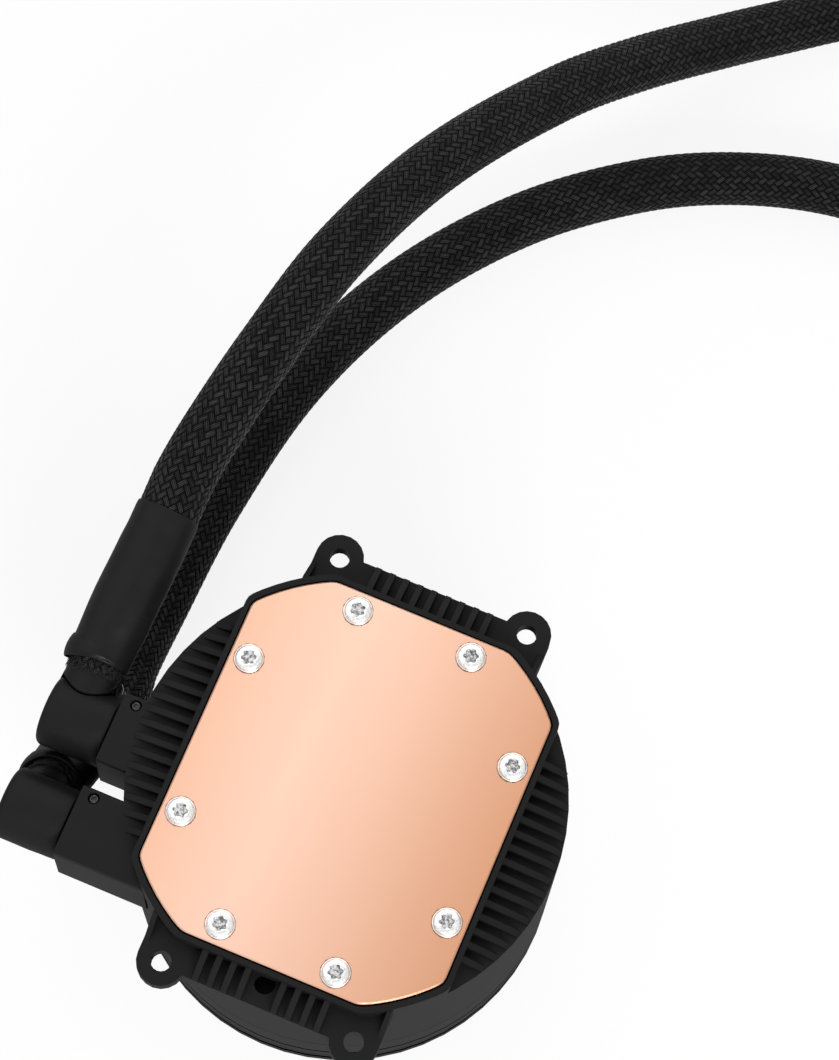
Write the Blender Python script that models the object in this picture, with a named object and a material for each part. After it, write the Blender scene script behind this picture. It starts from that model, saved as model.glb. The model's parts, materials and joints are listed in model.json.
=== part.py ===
"""A sealed liquid cooler for a processor: pump head, two swivel elbows, two sleeved hoses and a radiator.

Sizes are in millimetres and become metres where a mesh is made. The origin is on the pump's axis,
on the surface that the pump's round cap rests on. +Z is the cold plate's outward normal, +Y runs
along the plate's long side and +X runs away from the hose ports.
"""

import math

import bmesh
import bpy
from mathutils import Matrix, Vector

MM = 0.001
SEAT = 0.3  # gap between pieces that touch
OVERLAP = 0.6  # how far joined shapes and cutters reach into or past each other

# Pump drum, from the cap that it rests on up to the cold plate
PUMP_HEIGHT = 52.0
DRUM_RADIUS = 37.6
DRUM_WALL = 2.2
CAP_HEIGHT = 0.121 * PUMP_HEIGHT
CAP_EDGE = 1.2
TRIM_HEIGHT = 0.21 * PUMP_HEIGHT
REGISTER_HEIGHT = 2.0
REGISTER_WALL = 1.1
DRUM_STEPS = 56
SMOOTH_ANGLE = math.radians(36)

# Cold plate: a rectangle cut by a circle
PLATE_HALF_WIDTH = 0.7314 * DRUM_RADIUS
PLATE_HALF_LENGTH = 0.8697 * DRUM_RADIUS
PLATE_RADIUS = DRUM_RADIUS - 1.2
PLATE_THICKNESS = 3.0
PLATE_CORNER = 0.9
PLATE_EDGE = 0.25
FIN_COUNT = 16
FIN_PITCH = 1.5
FIN_THICKNESS = 0.6
FIN_HEIGHT = 2.0

# Screws that hold the cold plate
SCREW_INSET = 3.4
PLATE_SCREWS_NEAR_ENDS = (0.378 * PLATE_HALF_WIDTH, PLATE_HALF_LENGTH - SCREW_INSET)
PLATE_SCREWS_NEAR_SIDES = (PLATE_HALF_WIDTH - SCREW_INSET, 0.439 * PLATE_HALF_LENGTH)
SCREW_HEAD_RADIUS = 2.4
SCREW_HEAD_HEIGHT = 1.35
SCREW_SINK = 0.5
SCREW_SHANK_RADIUS = 1.25
SCREW_LENGTH = 9.0
DRIVE_RADIUS = 1.3
DRIVE_DEPTH = 0.8

# Moulded housing: lip, decks, ribs, ears
LIP_WIDTH = 1.2
LIP_DROP = 0.4
LIP_SKIRT = 8.6
LIP_STEP = 0.2
LIP_X = PLATE_HALF_WIDTH + LIP_WIDTH
LIP_Y = PLATE_HALF_LENGTH + LIP_WIDTH
LIP_RADIUS = DRUM_RADIUS + LIP_STEP
RIM_DROP = 4.7
EAR_DROP = 4.5
EAR_THICKNESS = 3.0
EAR_SPAN_X = 0.4628 * DRUM_RADIUS
EAR_SPAN_Y = LIP_Y + 4.1
EAR_RADIUS = 4.2
EAR_HOLE_RADIUS = 1.75
BAR_THICKNESS = 5.0
BAR_HALF_LENGTH = EAR_SPAN_Y + 0.9
RIB_PITCH = 0.0686 * DRUM_RADIUS
RIB_THICKNESS = 0.407 * RIB_PITCH
RIB_DROP = 2.4
RIB_SETBACK = 0.2
RIB_KNEE_HEIGHT = 1.3
RIGHT_RIB_KNEE = 1.4
RIGHT_RIB_TIP_HEIGHT = 0.4
LEFT_RIB_KNEE = 2.6
LEFT_RIB_TIP_HEIGHT = 0.1
END_RIB_DROP = 1.5
END_RIB_KNEE = 2.9
END_RIB_KNEE_HEIGHT = 2.1
END_RIB_TIP_HEIGHT = 0.8
GUSSET_THICKNESS = 0.9
GUSSET_LENGTH = 5.0
SIDE_RIB_MIDDLE = -0.4
RIGHT_RIBS = 15
LEFT_RIBS = 16
TOP_RIBS = 9
BOTTOM_RIBS = 8
BOTTOM_RIB_START = 3.2
BLIND_HOLE_RADIUS = 1.8
BLIND_HOLE_DEPTH = 6.0
BLIND_HOLE_INSET = 4.1
WEB_LOW = PUMP_HEIGHT - 14.8
RECESS_HALF_WIDTH = PLATE_HALF_WIDTH - 8.5
RECESS_HALF_LENGTH = PLATE_HALF_LENGTH - 8.7
RECESS_DEPTH = 3.8
FIN_LENGTH = 1.25 * RECESS_HALF_LENGTH
JET_SLOT_HALF_WIDTH = 1.6
GASKET_INSET = 1.1
GASKET_WIDTH = 1.4
GASKET_THICKNESS = 0.9

# Hose ports and their swivel elbows
PORT_DROP = 11.3
PORT_Y = (-0.117 * DRUM_RADIUS, -0.5824 * DRUM_RADIUS)
PORT_HEIGHT = PUMP_HEIGHT - PORT_DROP
ARM_DROP = 4.65
ARM_DEPTH = 16.5
ARM_WIDTH = 13.0
ARM_END = DRUM_RADIUS + 3.9
ARM_INNER_END = 0.665 * DRUM_RADIUS
ARM_CHAMFER = 1.0
PORT_BORE_RADIUS = 4.9
SPIGOT_LENGTH = 12.0
ELBOW_RADIUS = 6.35
ELBOW_LENGTH = 12.0
ELBOW_MOUTH = 6.4
ELBOW_EASE = 1.6
SEAL_PLACE = 8.4
SEAL_HALF_WIDTH = 0.6
SEAL_GROOVE_HALF_WIDTH = 0.9
SEAL_GROOVE_DEPTH = 1.3
NECK_RADIUS = 5.0
NECK_LENGTH = 10.1
BARB_RADIUS = 3.3
BARB_LENGTH = 13.6
BARB_RIDGE_RUN = 2.2
BARB_STEM_RADIUS = BARB_RADIUS - SEAT
BARB_SCREW_RADIUS = 4.4
BORE_RADIUS = 2.3
PIN_RADIUS = 0.75
PIN_OFFSET = 4.8
PIN_INSET = 2.5
PIN_LENGTH = 9.0
PIN_SINK = 0.5

# Shrink sleeves over the hose ends
COLLAR_RADIUS = 5.7
COLLAR_START = NECK_LENGTH + SEAT
COLLAR_LENGTH = 28.7
COLLAR_STRAIGHT = BARB_LENGTH + 1.0
COLLAR_CURVED = COLLAR_LENGTH - COLLAR_STRAIGHT
COLLAR_BEND_RADIUS = 50.0
UPPER_ELBOW_TURN = 8.0
LOWER_COLLAR_END_HEIGHT = 11.64
LOWER_ELBOW_RISE = (PORT_HEIGHT - LOWER_COLLAR_END_HEIGHT) / (COLLAR_START + COLLAR_LENGTH)
ELBOW_PASS = 2 * SEAT
LOWER_ELBOW_PASS = (ELBOW_RADIUS + COLLAR_RADIUS + ELBOW_PASS) / (PORT_Y[0] - PORT_Y[1])
LOWER_ELBOW_TURN = -math.degrees(math.asin(min(0.95, max(LOWER_ELBOW_RISE, LOWER_ELBOW_PASS))))

# Hoses
HOSE_DIAMETER = 10.8
HOSE_START_GAP = 0.6
HOSE_STRAIGHT = 6.0
HOSE_POINT_SPACING = 22.0
UPPER_ROUTE = (
    (-46.7, 50.0, PORT_HEIGHT + 7.9),
    (-43.8, 67.2, PORT_HEIGHT + 8.9),
    (-39.4, 89.6, PORT_HEIGHT + 6.9),
    (-30.9, 115.4, 39.8),
    (-17.4, 142.6, 26.2),
    (-6.8, 158.4, 16.6),
    (5.1, 172.2, 9.0),
    (15.0, 181.4, 6.0),
    (26.6, 190.2, 5.6),
    (46.0, 201.4, 5.6),
    (64.0, 207.4, 5.8),
    (81.0, 206.6, 7.6),
    (97.0, 200.4, 11.2),
)
LOWER_ROUTE = (
    (-48.6, 15.0, 8.4),
    (-48.7, 26.0, 5.6),
    (-47.4, 50.0, 5.6),
    (-42.5, 78.1, 5.6),
    (-32.2, 102.9, 5.6),
    (-16.6, 124.3, 5.6),
    (1.7, 139.9, 5.6),
    (18.5, 148.8, 5.6),
    (36.9, 154.0, 5.6),
    (54.0, 154.4, 5.6),
    (72.0, 150.6, 6.0),
    (90.0, 142.6, 9.4),
    (101.0, 137.2, 12.2),
)

# Pump works inside the drum
CHAMBER_RADIUS = 0.4 * DRUM_RADIUS
CHAMBER_HEIGHT = 5.4
INLET_RADIUS = 4.5
BOARD_THICKNESS = 1.6
CAN_FLANGE_RADIUS = CHAMBER_RADIUS + 9.0
CAN_FLANGE_THICKNESS = 2.0
CAN_RADIUS = 11.6
CAN_WALL = 1.2
CAN_SCREW_RADIUS = 1.0
CAN_SCREW_CIRCLE = CHAMBER_RADIUS + 4.5
CAN_SCREW_LENGTH = 6.0
CAN_SCREW_HEAD_HEIGHT = 1.2
CAN_SCREWS = 3
RUNNING_GAP = 0.6
IMPELLER_RADIUS = CHAMBER_RADIUS - 1.8
IMPELLER_DISC = 1.4
BLADE_HEIGHT = 2.6
BLADE_THICKNESS = 1.1
BLADES = 7
BLADE_SWEEP = 46.0
BLADE_STEPS = 4
HUB_RADIUS = 5.6
MAGNET_DROP = 1.2
BUSH_RADIUS = 3.0
SHAFT_RADIUS = 1.2
SHAFT_SOCKET_WALL = 1.4
SHAFT_SOCKET_HEIGHT = 3.0
STATOR_YOKE = 3.2
STATOR_POLES = 6
POLE_WIDTH = 5.0

# Radiator lying on its side frames
RADIATOR_START = 148.0
RADIATOR_MIDDLE_Y = 165.0
RADIATOR_LENGTH = 157.0
RADIATOR_WIDTH = 120.0
RADIATOR_THICKNESS = 27.0
TANK_LENGTH = 17.5
TANK_INSET = 1.2
TANK_EDGE = 2.6
TANK_WALL = 1.6
FRAME_SHEET = 1.2
FRAME_FLANGE = 9.5
FRAME_HOLE_SPACING = RADIATOR_WIDTH - 15.0
FRAME_HOLE_RADIUS = 1.7
CORE_THICKNESS = 20.0
CORE_TUBES = 13
CORE_TUBE_THICKNESS = 2.0
CORE_FIN_INSET = 1.0
BARB_SPACING = 0.5167 * RADIATOR_WIDTH
HEX_RADIUS = 7.6
HEX_LENGTH = 3.0
PLUG_RADIUS = 5.0
PLUG_LENGTH = 1.6
PLUG_DEPTH = 2.4
PLUG_SOCKET_RADIUS = 2.3

# Heights and widths that several pieces share
PLATE_LOW = PUMP_HEIGHT - PLATE_THICKNESS
LEDGE = PLATE_LOW - SEAT
LIP_TOP = PUMP_HEIGHT - LIP_DROP
EAR_TOP = PUMP_HEIGHT - EAR_DROP
RIM_TOP = PUMP_HEIGHT - RIM_DROP
ARM_TOP = PUMP_HEIGHT - ARM_DROP
TRIM_LOW = CAP_HEIGHT + SEAT
TRIM_TOP = TRIM_LOW + TRIM_HEIGHT
HOUSING_LOW = TRIM_TOP + SEAT
DRUM_INSIDE = DRUM_RADIUS - DRUM_WALL
BARB_HOLE = BARB_RADIUS + 2 * SEAT
BOARD_RADIUS = DRUM_INSIDE - 2.0
BOARD_TOP = HOUSING_LOW + BOARD_THICKNESS
WORKS_ROOM = WEB_LOW - SEAT - CAN_FLANGE_THICKNESS - BOARD_TOP
CAN_FLOOR = BOARD_TOP + 0.271 * WORKS_ROOM + CAN_WALL
STATOR_RADIUS = DRUM_INSIDE - 5.4
STATOR_HEIGHT = 0.413 * WORKS_ROOM
COIL_BUILD = 0.1227 * WORKS_ROOM
STATOR_LOW = BOARD_TOP + SEAT + COIL_BUILD

# Stands an outline of (y, z) upright and runs it along X
ALONG_X = Matrix(((0, 0, 1, 0), (1, 0, 0, 0), (0, 1, 0, 0), (0, 0, 0, 1)))


def clear_scene():
    for item in list(bpy.data.objects):
        bpy.data.objects.remove(item)


def finish(name, colour, roughness, metallic=0.0):
    surface = bpy.data.materials.new(name)
    surface.use_nodes = True
    shader = surface.node_tree.nodes["Principled BSDF"]
    shader.inputs["Base Color"].default_value = (*colour, 1.0)
    shader.inputs["Roughness"].default_value = roughness
    shader.inputs["Metallic"].default_value = metallic
    return surface


def add_object(name, shape, surface):
    """An object from a bmesh. Its round faces are shaded smooth and its flat ones stay flat."""
    bmesh.ops.recalc_face_normals(shape, faces=shape.faces)
    for face in shape.faces:
        face.smooth = any(0.01 < edge.calc_face_angle(0) < SMOOTH_ANGLE for edge in face.edges)
    for edge in shape.edges:
        edge.smooth = edge.calc_face_angle(0) < SMOOTH_ANGLE
    mesh = bpy.data.meshes.new(name)
    shape.to_mesh(mesh)
    shape.free()
    mesh.materials.append(surface)
    item = bpy.data.objects.new(name, mesh)
    bpy.context.scene.collection.objects.link(item)
    return item


def prism(outline, low, high):
    """A solid with the flat outline (x, y), from height low to height high."""
    shape = bmesh.new()
    base = shape.faces.new([shape.verts.new((x * MM, y * MM, low * MM)) for x, y in outline])
    raised = bmesh.ops.extrude_face_region(shape, geom=[base])["geom"]
    corners = [part for part in raised if isinstance(part, bmesh.types.BMVert)]
    bmesh.ops.translate(shape, verts=corners, vec=(0, 0, (high - low) * MM))
    return shape


def ring_prism(outer, inner, low, high):
    """A flat ring between two outlines that have as many points as each other."""
    shape = bmesh.new()
    rows = [[shape.verts.new((x * MM, y * MM, height * MM)) for x, y in outline]
            for outline, height in ((outer, low), (outer, high), (inner, high), (inner, low))]
    for row, after in zip(rows, rows[1:] + rows[:1]):
        for index in range(len(row)):
            shape.faces.new((row[index - 1], row[index], after[index], after[index - 1]))
    return shape


def turned(profile, steps):
    """A solid turned about Z. The profile holds (radius, height); its flat ends become single faces."""
    shape = bmesh.new()
    points = [shape.verts.new((radius * MM, 0, height * MM)) for radius, height in profile]
    lines = [shape.edges.new(pair) for pair in zip(points, points[1:])]
    if profile[0][0] > 0:
        lines.append(shape.edges.new((points[-1], points[0])))
    bmesh.ops.spin(shape, geom=points + lines, cent=(0, 0, 0), axis=(0, 0, 1),
                   angle=2 * math.pi, steps=steps, use_merge=True)
    bmesh.ops.remove_doubles(shape, verts=shape.verts, dist=0.001 * MM)
    centres = [vert for vert in shape.verts if vert.co.xy.length < 0.001 * MM]
    bmesh.ops.dissolve_verts(shape, verts=centres)
    return shape


def box(low, high):
    """A block between two corners."""
    (x0, y0, z0), (x1, y1, z1) = low, high
    return prism(((x0, y0), (x1, y0), (x1, y1), (x0, y1)), z0, z1)


def merged(shapes):
    """One bmesh that holds several separate shapes."""
    whole = bmesh.new()
    for shape in shapes:
        piece = bpy.data.meshes.new("piece")
        shape.to_mesh(piece)
        shape.free()
        whole.from_mesh(piece)
        bpy.data.meshes.remove(piece)
    return whole


def placed(shape, matrix):
    """The shape turned and moved by a matrix whose offset is in millimetres."""
    matrix = matrix.copy()
    matrix.translation *= MM
    bmesh.ops.transform(shape, matrix=matrix, verts=shape.verts)
    return shape


def cylinder(radius, start, end, steps=24):
    """A round bar from one point to another."""
    start, end = Vector(start), Vector(end)
    along = end - start
    shape = turned(((0, along.length), (radius, along.length), (radius, 0), (0, 0)), steps)
    turn = Vector((0, 0, 1)).rotation_difference(along).to_matrix().to_4x4()
    return placed(shape, Matrix.Translation(start) @ turn)


def boolean(body, shape, operation, name):
    """Joins, cuts or trims a body by a helper that stays in the scene as a wire."""
    helper = add_object(f"{body.name}.{name}", shape, body.data.materials[0])
    helper.hide_render = True
    helper.display_type = "WIRE"
    helper.matrix_world = body.matrix_world
    step = body.modifiers.new(name, "BOOLEAN")
    step.operation = operation
    step.solver = "EXACT"
    step.object = helper
    return helper


def join(body, shape, name):
    return boolean(body, shape, "UNION", name)


def cut(body, shape, name):
    return boolean(body, shape, "DIFFERENCE", name)


def ease_edges(body, width, segments=1):
    """A small bevel on the sharp edges."""
    step = body.modifiers.new("eased edges", "BEVEL")
    step.width = width * MM
    step.segments = segments
    step.limit_method = "ANGLE"
    step.angle_limit = math.radians(40)


def arc(centre, radius, start, end, steps):
    """Points on a circle, both ends included, with angles in degrees."""
    for number in range(steps + 1):
        angle = math.radians(start + (end - start) * number / steps)
        yield (centre[0] + radius * math.cos(angle), centre[1] + radius * math.sin(angle))


def rounded(points, radius, steps=3, corners=None):
    """An outline with its corners, or only the numbered ones, replaced by short curves."""
    outline = []
    for index, corner in enumerate(points):
        if corners is not None and index not in corners:
            outline.append(corner)
            continue
        corner = Vector(corner)
        before = Vector(points[index - 1]) - corner
        after = Vector(points[(index + 1) % len(points)]) - corner
        reach = min(radius, before.length / 2.2, after.length / 2.2)
        start = corner + before.normalized() * reach
        end = corner + after.normalized() * reach
        for number in range(steps + 1):
            t = number / steps
            outline.append(tuple(start * (1 - t) ** 2 + corner * 2 * t * (1 - t) + end * t ** 2))
    return outline


def cut_circle_outline(half_width, half_length, radius, steps=6):
    """A rectangle with its four corners cut by a circle about the centre. All eight corners are eased."""
    side = math.degrees(math.acos(half_width / radius))
    end = math.degrees(math.asin(half_length / radius))
    outline = []
    for turn in (0, 180):
        outline += arc((0, 0), radius, turn + side, turn + end, steps)
        outline += arc((0, 0), radius, turn + 180 - end, turn + 180 - side, steps)
    corners = [index for index in range(len(outline)) if index % (steps + 1) in (0, steps)]
    return rounded(outline, PLATE_CORNER, 2, corners)


def plate_outline(grow):
    """The cold plate's outline, moved outwards."""
    return cut_circle_outline(PLATE_HALF_WIDTH + grow, PLATE_HALF_LENGTH + grow, PLATE_RADIUS + grow)


def hexagon(centre, radius):
    return list(arc(centre, radius, 0, 300, 5))


def rectangle(half_width, half_length, corner):
    points = ((-half_width, -half_length), (half_width, -half_length),
              (half_width, half_length), (-half_width, half_length))
    return rounded(points, corner)


def plate_screw_places():
    return [(side * x, end * y) for x, y in (PLATE_SCREWS_NEAR_ENDS, PLATE_SCREWS_NEAR_SIDES)
            for side in (-1, 1) for end in (-1, 1)]


def ear_places():
    return [(side * EAR_SPAN_X, end * EAR_SPAN_Y) for side in (-1, 1) for end in (-1, 1)]


def pin_places():
    return [(-(ARM_END - PIN_INSET), y + PIN_OFFSET) for y in PORT_Y]


def side_rib_places(count):
    return [SIDE_RIB_MIDDLE + RIB_PITCH * (number - (count - 1) / 2) for number in range(count)]


def make_finishes():
    return {
        "copper": finish("copper", (0.86, 0.53, 0.36), 0.28, 1.0),
        "steel": finish("bright steel", (0.72, 0.72, 0.70), 0.25, 1.0),
        "moulding": finish("black moulding", (0.025, 0.025, 0.026), 0.5),
        "trim": finish("dark grey trim", (0.04, 0.04, 0.042), 0.42),
        "rubber": finish("black rubber", (0.015, 0.015, 0.015), 0.7),
        "braid": finish("black braid", (0.02, 0.02, 0.02), 0.6),
        "magnet": finish("ferrite", (0.06, 0.06, 0.065), 0.55, 0.3),
        "ceramic": finish("white ceramic", (0.85, 0.84, 0.8), 0.3),
        "winding": finish("enamelled wire", (0.5, 0.2, 0.08), 0.35, 0.8),
        "board": finish("circuit board", (0.02, 0.09, 0.05), 0.5),
        "radiator": finish("black painted aluminium", (0.022, 0.022, 0.024), 0.45, 0.2),
    }


def make_cold_plate(surface):
    plate = add_object("cold_plate", prism(plate_outline(0), PLATE_LOW, PUMP_HEIGHT), surface)
    ease_edges(plate, PLATE_EDGE)
    half = (FIN_COUNT - 1) / 2
    fins = [box(((number - half) * FIN_PITCH - FIN_THICKNESS / 2, -FIN_LENGTH / 2, PLATE_LOW - FIN_HEIGHT),
                ((number - half) * FIN_PITCH + FIN_THICKNESS / 2, FIN_LENGTH / 2, PLATE_LOW + OVERLAP))
            for number in range(FIN_COUNT)]
    join(plate, merged(fins), "fins")
    holes = []
    for x, y in plate_screw_places():
        holes.append(turned(((0, PUMP_HEIGHT + OVERLAP), (SCREW_HEAD_RADIUS + SEAT, PUMP_HEIGHT + OVERLAP),
                             (SCREW_HEAD_RADIUS + SEAT, PUMP_HEIGHT - SCREW_SINK),
                             (SCREW_SHANK_RADIUS + SEAT, PUMP_HEIGHT - SCREW_SINK),
                             (SCREW_SHANK_RADIUS + SEAT, PLATE_LOW - OVERLAP), (0, PLATE_LOW - OVERLAP)), 12))
        placed(holes[-1], Matrix.Translation((x, y, 0)))
    cut(plate, merged(holes), "screw holes")


def drive_outline():
    """The six-lobed recess in a screw head."""
    outline = []
    for number in range(12):
        angle = math.radians(30 * number)
        reach = DRIVE_RADIUS * (0.86 + 0.14 * math.cos(6 * angle))
        outline.append((reach * math.cos(angle), reach * math.sin(angle)))
    return outline


def make_plate_screws(surface):
    low = PUMP_HEIGHT - SCREW_SINK + SEAT
    top = low + SCREW_HEAD_HEIGHT
    profile = ((0, top), (SCREW_HEAD_RADIUS * 0.74, top - 0.12 * SCREW_HEAD_HEIGHT),
               (SCREW_HEAD_RADIUS, top - 0.6 * SCREW_HEAD_HEIGHT), (SCREW_HEAD_RADIUS, low),
               (SCREW_SHANK_RADIUS, low), (SCREW_SHANK_RADIUS, low - SCREW_LENGTH), (0, low - SCREW_LENGTH))
    for number, (x, y) in enumerate(plate_screw_places(), 1):
        screw = add_object(f"cold_plate_screw_{number}", turned(profile, 12), surface)
        screw.location = Vector((x, y, 0)) * MM
        bpy.context.view_layer.update()
        cut(screw, prism(drive_outline(), top - DRIVE_DEPTH, top + OVERLAP), "drive")


def gasket_outlines(spread):
    """The outer and inner outlines of the gasket or, spread by a gap, of its groove."""
    near, far = GASKET_INSET - spread, GASKET_INSET + GASKET_WIDTH + spread
    outer = rectangle(RECESS_HALF_WIDTH + far, RECESS_HALF_LENGTH + far, 3.0)
    inner = rectangle(RECESS_HALF_WIDTH + near, RECESS_HALF_LENGTH + near, 2.0)
    return outer, inner


def make_gasket(surface):
    outer, inner = gasket_outlines(0)
    add_object("cold_plate_gasket", ring_prism(outer, inner, LEDGE - GASKET_THICKNESS, LEDGE), surface)


def rib_shape(profile, turn):
    """A rib with the outline (outwards, z), turned to its place on one of the four flats."""
    upright = Matrix(((1, 0, 0, 0), (0, 0, 1, 0), (0, 1, 0, 0), (0, 0, 0, 1)))
    return placed(prism(profile, -RIB_THICKNESS / 2, RIB_THICKNESS / 2), turn @ upright)


def side_rib_shape(side, y, knee, tip_height):
    """One rib of a side flat: it slopes from the lip to its knee, then down to the rim."""
    base, high = RIM_TOP - OVERLAP, PUMP_HEIGHT - RIB_DROP
    inner = LIP_X - LIP_WIDTH
    end = math.sqrt((DRUM_RADIUS - RIB_SETBACK) ** 2 - y ** 2)
    bend = max(end - knee, LIP_X + SEAT)
    profile = ((inner, base), (inner, high), (LIP_X + 0.2, high), (bend, RIM_TOP + RIB_KNEE_HEIGHT),
               (end, RIM_TOP + tip_height), (end, base))
    turn = Matrix(((side, 0, 0, 0), (0, 1, 0, y), (0, 0, 1, 0), (0, 0, 0, 1)))
    return rib_shape(profile, turn)


def end_rib_shape(end, x):
    """One rib of an end bar: it slopes from the lip to its knee, then down to the bar's edge."""
    base, high = EAR_TOP - OVERLAP, PUMP_HEIGHT - END_RIB_DROP
    inner, outer = LIP_Y - LIP_WIDTH, BAR_HALF_LENGTH - 0.1
    profile = ((inner, base), (inner, high), (LIP_Y + 0.2, high),
               (LIP_Y + END_RIB_KNEE, EAR_TOP + END_RIB_KNEE_HEIGHT),
               (outer, EAR_TOP + END_RIB_TIP_HEIGHT), (outer, base))
    turn = Matrix(((0, 1, 0, x), (end, 0, 0, 0), (0, 0, 1, 0), (0, 0, 0, 1)))
    return rib_shape(profile, turn)


def ear_outline(end):
    """Deck between two ears, with the ears' round ends."""
    meet = math.degrees(math.asin((BAR_HALF_LENGTH - EAR_SPAN_Y) / EAR_RADIUS))
    right = list(arc((EAR_SPAN_X, EAR_SPAN_Y), EAR_RADIUS, 0, 180 - meet, 9))
    left = list(arc((-EAR_SPAN_X, EAR_SPAN_Y), EAR_RADIUS, meet, 180, 9))
    inner = LIP_Y - 8.0
    outline = [(EAR_SPAN_X + EAR_RADIUS, inner), *right, *left, (-EAR_SPAN_X - EAR_RADIUS, inner)]
    return [(x, end * y) for x, y in outline]


def arm_shape(y):
    """One port arm: a deep block with eased edges, running into the drum."""
    near, far = y - ARM_WIDTH / 2, y + ARM_WIDTH / 2
    low = ARM_TOP - ARM_DEPTH
    section = rounded(((near, low), (far, low), (far, ARM_TOP), (near, ARM_TOP)), ARM_CHAMFER, 2)
    return placed(prism(section, -ARM_END, -ARM_INNER_END), ALONG_X)


def gusset_shape(side, end):
    """A thin web on an ear's outer edge that rises to the lip."""
    x = EAR_SPAN_X + EAR_RADIUS - GUSSET_THICKNESS / 2 - 0.05
    lip = math.sqrt(LIP_RADIUS ** 2 - x ** 2)
    base, high = EAR_TOP - OVERLAP, LIP_TOP - 0.5
    profile = ((lip - 1.0, base), (lip - 1.0, high), (lip + 0.3, high), (lip + GUSSET_LENGTH, base))
    shape = prism(profile, -GUSSET_THICKNESS / 2, GUSSET_THICKNESS / 2)
    return placed(shape, Matrix(((0, 0, 1, side * x), (end, 0, 0, 0), (0, 1, 0, 0), (0, 0, 0, 1))))


def make_ribs():
    """All the ribs around the lip: on both side flats, on the top bar and on the bottom bar."""
    ribs = [side_rib_shape(1, y, RIGHT_RIB_KNEE, RIGHT_RIB_TIP_HEIGHT) for y in side_rib_places(RIGHT_RIBS)]
    ribs += [side_rib_shape(-1, y, LEFT_RIB_KNEE, LEFT_RIB_TIP_HEIGHT) for y in side_rib_places(LEFT_RIBS)]
    ribs += [end_rib_shape(1, RIB_PITCH * (number - (TOP_RIBS - 1) / 2)) for number in range(TOP_RIBS)]
    ribs += [end_rib_shape(-1, side * (BOTTOM_RIB_START + RIB_PITCH * number))
             for number in range(BOTTOM_RIBS // 2) for side in (-1, 1)]
    return merged(ribs)


def make_housing(surface):
    shell = ((0, RIM_TOP), (DRUM_RADIUS, RIM_TOP), (DRUM_RADIUS, HOUSING_LOW), (DRUM_INSIDE, HOUSING_LOW),
             (DRUM_INSIDE, WEB_LOW), (0, WEB_LOW))
    housing = add_object("pump_housing", turned(shell, DRUM_STEPS), surface)
    lip = prism(cut_circle_outline(LIP_X, LIP_Y, LIP_RADIUS), LIP_TOP - LIP_SKIRT, LIP_TOP)
    join(housing, lip, "lip")
    for end, name in ((1, "top ears"), (-1, "bottom ears")):
        join(housing, prism(ear_outline(end), EAR_TOP - EAR_THICKNESS, EAR_TOP), name)
        half = EAR_SPAN_X - EAR_RADIUS + 0.4
        inner, outer = sorted((end * (LIP_Y - 4), end * (BAR_HALF_LENGTH - 0.05)))
        bar = box((-half, inner, EAR_TOP - BAR_THICKNESS), (half, outer, EAR_TOP - 0.05))
        join(housing, bar, f"{name} bar")
        join(housing, merged([gusset_shape(side, end) for side in (-1, 1)]), f"{name} gussets")
    join(housing, make_ribs(), "ribs")
    for y, name in zip(PORT_Y, ("upper arm", "lower arm")):
        join(housing, arm_shape(y), name)
    cut_plate_pocket(housing)
    cut_ports(housing)
    cut_fastener_holes(housing)


def cut_plate_pocket(housing):
    cut(housing, prism(plate_outline(SEAT), LEDGE, PUMP_HEIGHT + OVERLAP), "plate pocket")
    recess = rectangle(RECESS_HALF_WIDTH, RECESS_HALF_LENGTH, 2.0)
    cut(housing, prism(recess, LEDGE - RECESS_DEPTH, LEDGE + OVERLAP), "water recess")
    outer, inner = gasket_outlines(SEAT)
    cut(housing, ring_prism(outer, inner, LEDGE - GASKET_THICKNESS - SEAT, LEDGE + OVERLAP), "gasket groove")


def cut_ports(housing):
    """Port bores, the water channels behind them, the pump chamber and its inlet."""
    bore_end = -(ARM_END - SPIGOT_LENGTH - 1.0)
    bores = [cylinder(PORT_BORE_RADIUS, (-ARM_END - OVERLAP, y, PORT_HEIGHT), (bore_end, y, PORT_HEIGHT), 20)
             for y in PORT_Y]
    cut(housing, merged(bores), "port bores")
    chamber_top = WEB_LOW + CHAMBER_HEIGHT
    cut(housing, cylinder(CHAMBER_RADIUS, (0, 0, WEB_LOW - OVERLAP), (0, 0, chamber_top), 24), "pump chamber")
    cut(housing, cylinder(INLET_RADIUS, (0, 0, chamber_top - OVERLAP), (0, 0, LEDGE), 14), "pump inlet")
    start, turn = bore_end - OVERLAP, 3.2 - RECESS_HALF_WIDTH
    outlet, feed = PORT_Y
    channels = [cylinder(BORE_RADIUS, (start, y, PORT_HEIGHT), (end, y, PORT_HEIGHT), 12)
                for y, end in ((outlet, 2.5 - CHAMBER_RADIUS), (feed, turn))]
    cut(housing, merged(channels), "water channels")
    x, y = turn - 1.4, feed + 0.1
    riser = cylinder(BORE_RADIUS - 0.4, (x, y, PORT_HEIGHT), (x, y, LEDGE - RECESS_DEPTH + OVERLAP), 10)
    cut(housing, riser, "inlet riser")


def upright_holes(places, radius, low, high, steps):
    return [cylinder(radius, (x, y, low), (x, y, high), steps) for x, y in places]


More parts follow.
